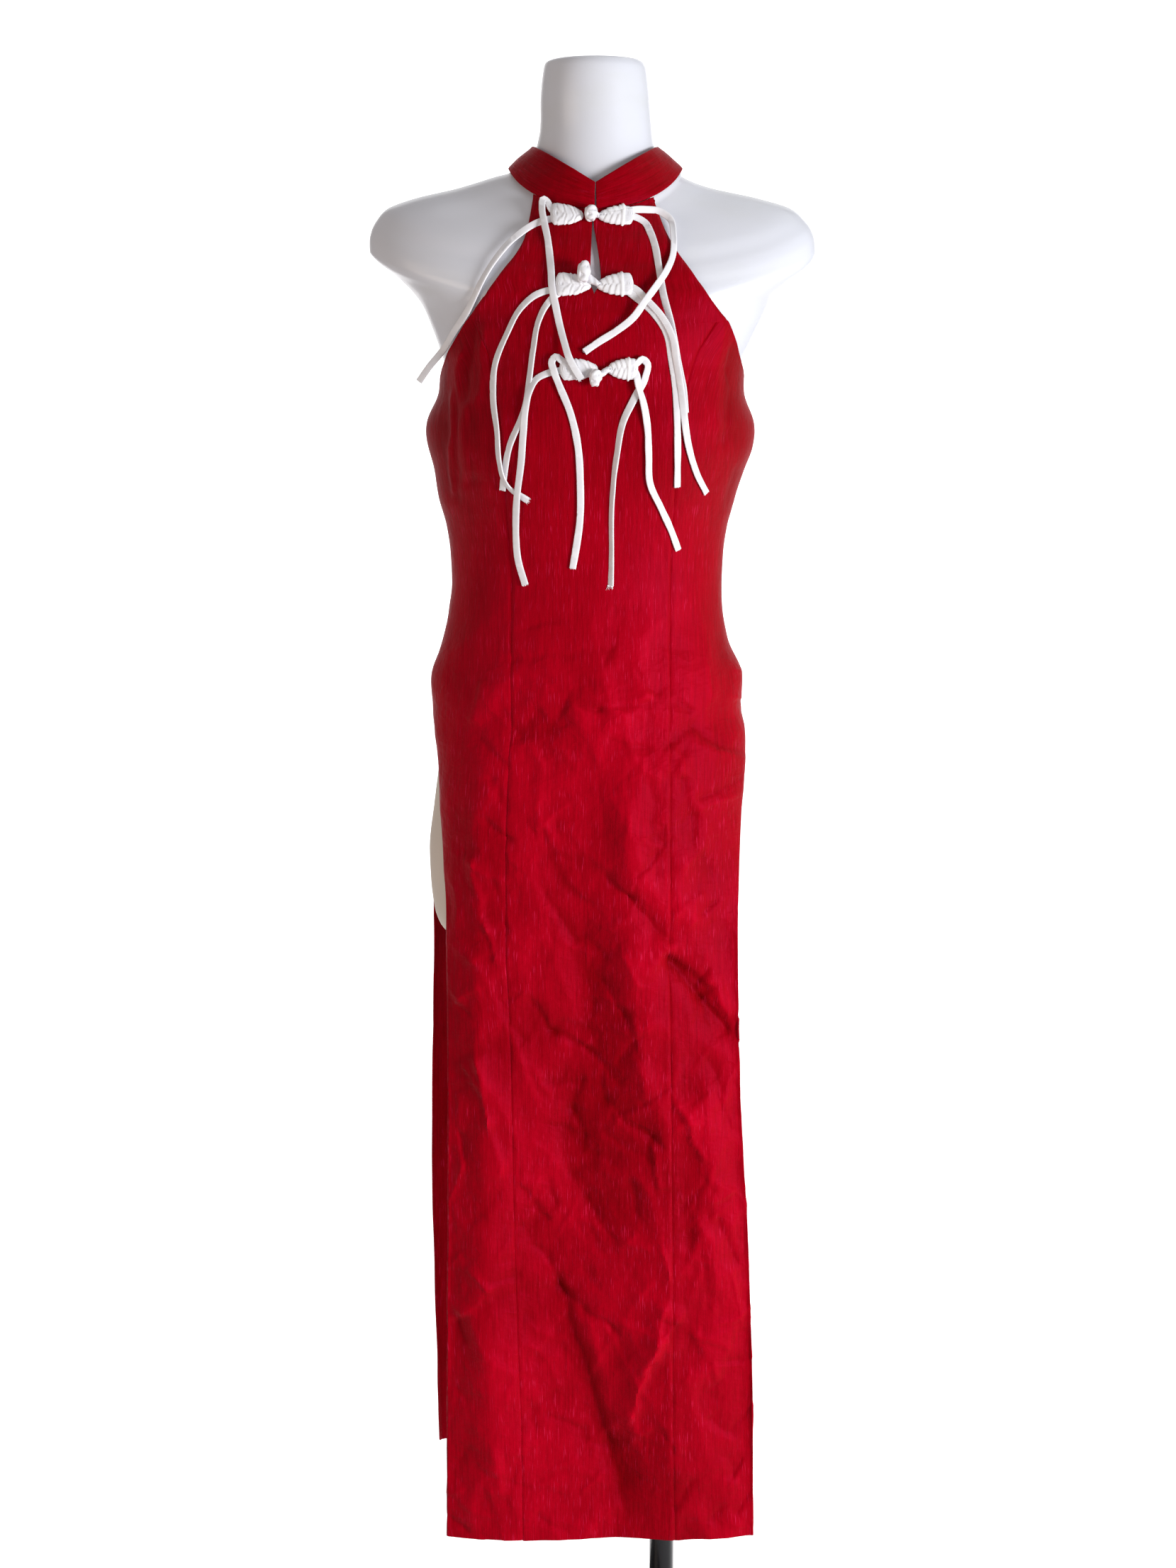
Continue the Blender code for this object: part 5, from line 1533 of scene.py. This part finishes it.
class CHEONGSAM_OT_studio(Operator):
    """The camera, the pale floor with its backdrop, and the lights"""

    bl_idname = "cheongsam.studio"
    bl_label = "Studio"

    def execute(self, context):
        looks = context.scene.cheongsam_studio
        context.scene.view_settings.view_transform = "Standard"
        tilt = math.radians(90 - CAMERA["down"])
        bpy.ops.object.camera_add(location=CAMERA["place"], rotation=(tilt, 0, 0))
        camera = context.object
        camera.data.sensor_fit = "VERTICAL"
        camera.data.sensor_height = 36
        camera.data.lens = looks.lens
        context.scene.camera = camera
        self.backdrop(looks)
        for name, (power, share, colour, size, at, to) in LIGHTS.items():
            self.light(name, getattr(looks, power) * share, colour, size, at, to)
        world = bpy.data.worlds.new("daylight")
        context.scene.world = world
        world.use_nodes = True
        background = world.node_tree.nodes["Background"]
        background.inputs["Color"].default_value = (0.97, 0.97, 1.0, 1.0)
        background.inputs["Strength"].default_value = looks.daylight
        return {"FINISHED"}

    def backdrop(self, looks):
        obj, _ = new_primitive(
            "backdrop", bpy.ops.mesh.primitive_plane_add, size=BACKDROP["size"], location=BACKDROP["middle"]
        )
        bpy.ops.object.transform_apply(location=True, rotation=True, scale=True)

        def ends(edge):
            return [obj.data.vertices[i].co for i in edge.vertices]

        pick(obj, "EDGE", lambda edge: all(end.y > BACKDROP["far"] for end in ends(edge)))
        bpy.ops.mesh.extrude_region_move(TRANSFORM_OT_translate={"value": (0, 0, BACKDROP["rise"])})
        pick(obj, "EDGE", lambda edge: all(end.y > BACKDROP["far"] and end.z < 0.1 for end in ends(edge)))
        bpy.ops.mesh.bevel(offset=BACKDROP["bend"], segments=16)
        bpy.ops.object.mode_set(mode="OBJECT")
        soften(obj, 60)
        paper = Finish("backdrop_paper")
        # The paper glows only in the fan behind the dress that the photo's view takes in.
        depth = paper.axis(1)
        aside = paper.maths("ABSOLUTE", paper.axis(0)) - GLOW_SLOPE * (depth - GLOW_TIP)
        seen = depth.between(-0.1, 0.22) * (1.0 - aside.between(0.06, 0.45))
        mottle = paper.noise(space=(2, 2, 2)).between(0.3, 0.7)
        pale = paper.blend(mottle, (0.90, 0.90, 0.90), looks.backdrop)
        paper.set(
            Base_Color=paper.blend(seen, (0.45, 0.45, 0.46), pale),
            Roughness=0.9,
            Emission_Color=paper.blend(seen, (0.12, 0.12, 0.12), (1.0, 1.0, 1.0)),
            Emission_Strength=0.95,
        )
        obj.data.materials.append(paper.material)

    def light(self, name, power, colour, size, at, to):
        bpy.ops.object.light_add(type="AREA", location=at)
        lamp = bpy.context.object
        lamp.name = name
        lamp.data.energy, lamp.data.color, lamp.data.size = power, colour, size
        aim = np.array(to) - np.array(at)
        across = math.hypot(aim[0], aim[1])
        lamp.rotation_euler = (math.atan2(across, -aim[2]), 0, math.atan2(aim[1], aim[0]) - QUARTER)


OPERATORS = (
    CHEONGSAM_OT_studio,
    CHEONGSAM_OT_ties,
    CHEONGSAM_OT_front,
    CHEONGSAM_OT_back,
    CHEONGSAM_OT_collar,
    CHEONGSAM_OT_frogs,
    CHEONGSAM_OT_form,
    CHEONGSAM_OT_stand,
)
LOOKS = {
    "cheongsam_dress": DressLooks,
    "cheongsam_trim": TrimLooks,
    "cheongsam_form": FormLooks,
    "cheongsam_studio": StudioLooks,
}


class CHEONGSAM_PT_panel(Panel):
    """The dress's pieces and looks, in the sidebar"""

    bl_label = "Cheongsam"
    bl_idname = "CHEONGSAM_PT_panel"
    bl_space_type = "VIEW_3D"
    bl_region_type = "UI"
    bl_category = "Cheongsam"

    def draw(self, context):
        for name in LOOKS:
            box = self.layout.box()
            looks = getattr(context.scene, name)
            for key in looks.bl_rna.properties.keys():
                if key not in ("rna_type", "name"):
                    box.prop(looks, key)
        for operator in OPERATORS:
            self.layout.operator(operator.bl_idname)


def register():
    for cls in (*LOOKS.values(), *OPERATORS, CHEONGSAM_PT_panel):
        bpy.utils.register_class(cls)
    for name, looks in LOOKS.items():
        setattr(bpy.types.Scene, name, PointerProperty(type=looks))


def unregister():
    for name in LOOKS:
        delattr(bpy.types.Scene, name)
    for cls in reversed((*LOOKS.values(), *OPERATORS, CHEONGSAM_PT_panel)):
        bpy.utils.unregister_class(cls)


def main():
    register()
    for operator in OPERATORS:
        group, name = operator.bl_idname.split(".")
        getattr(getattr(bpy.ops, group), name)()


if __name__ == "__main__":
    main()
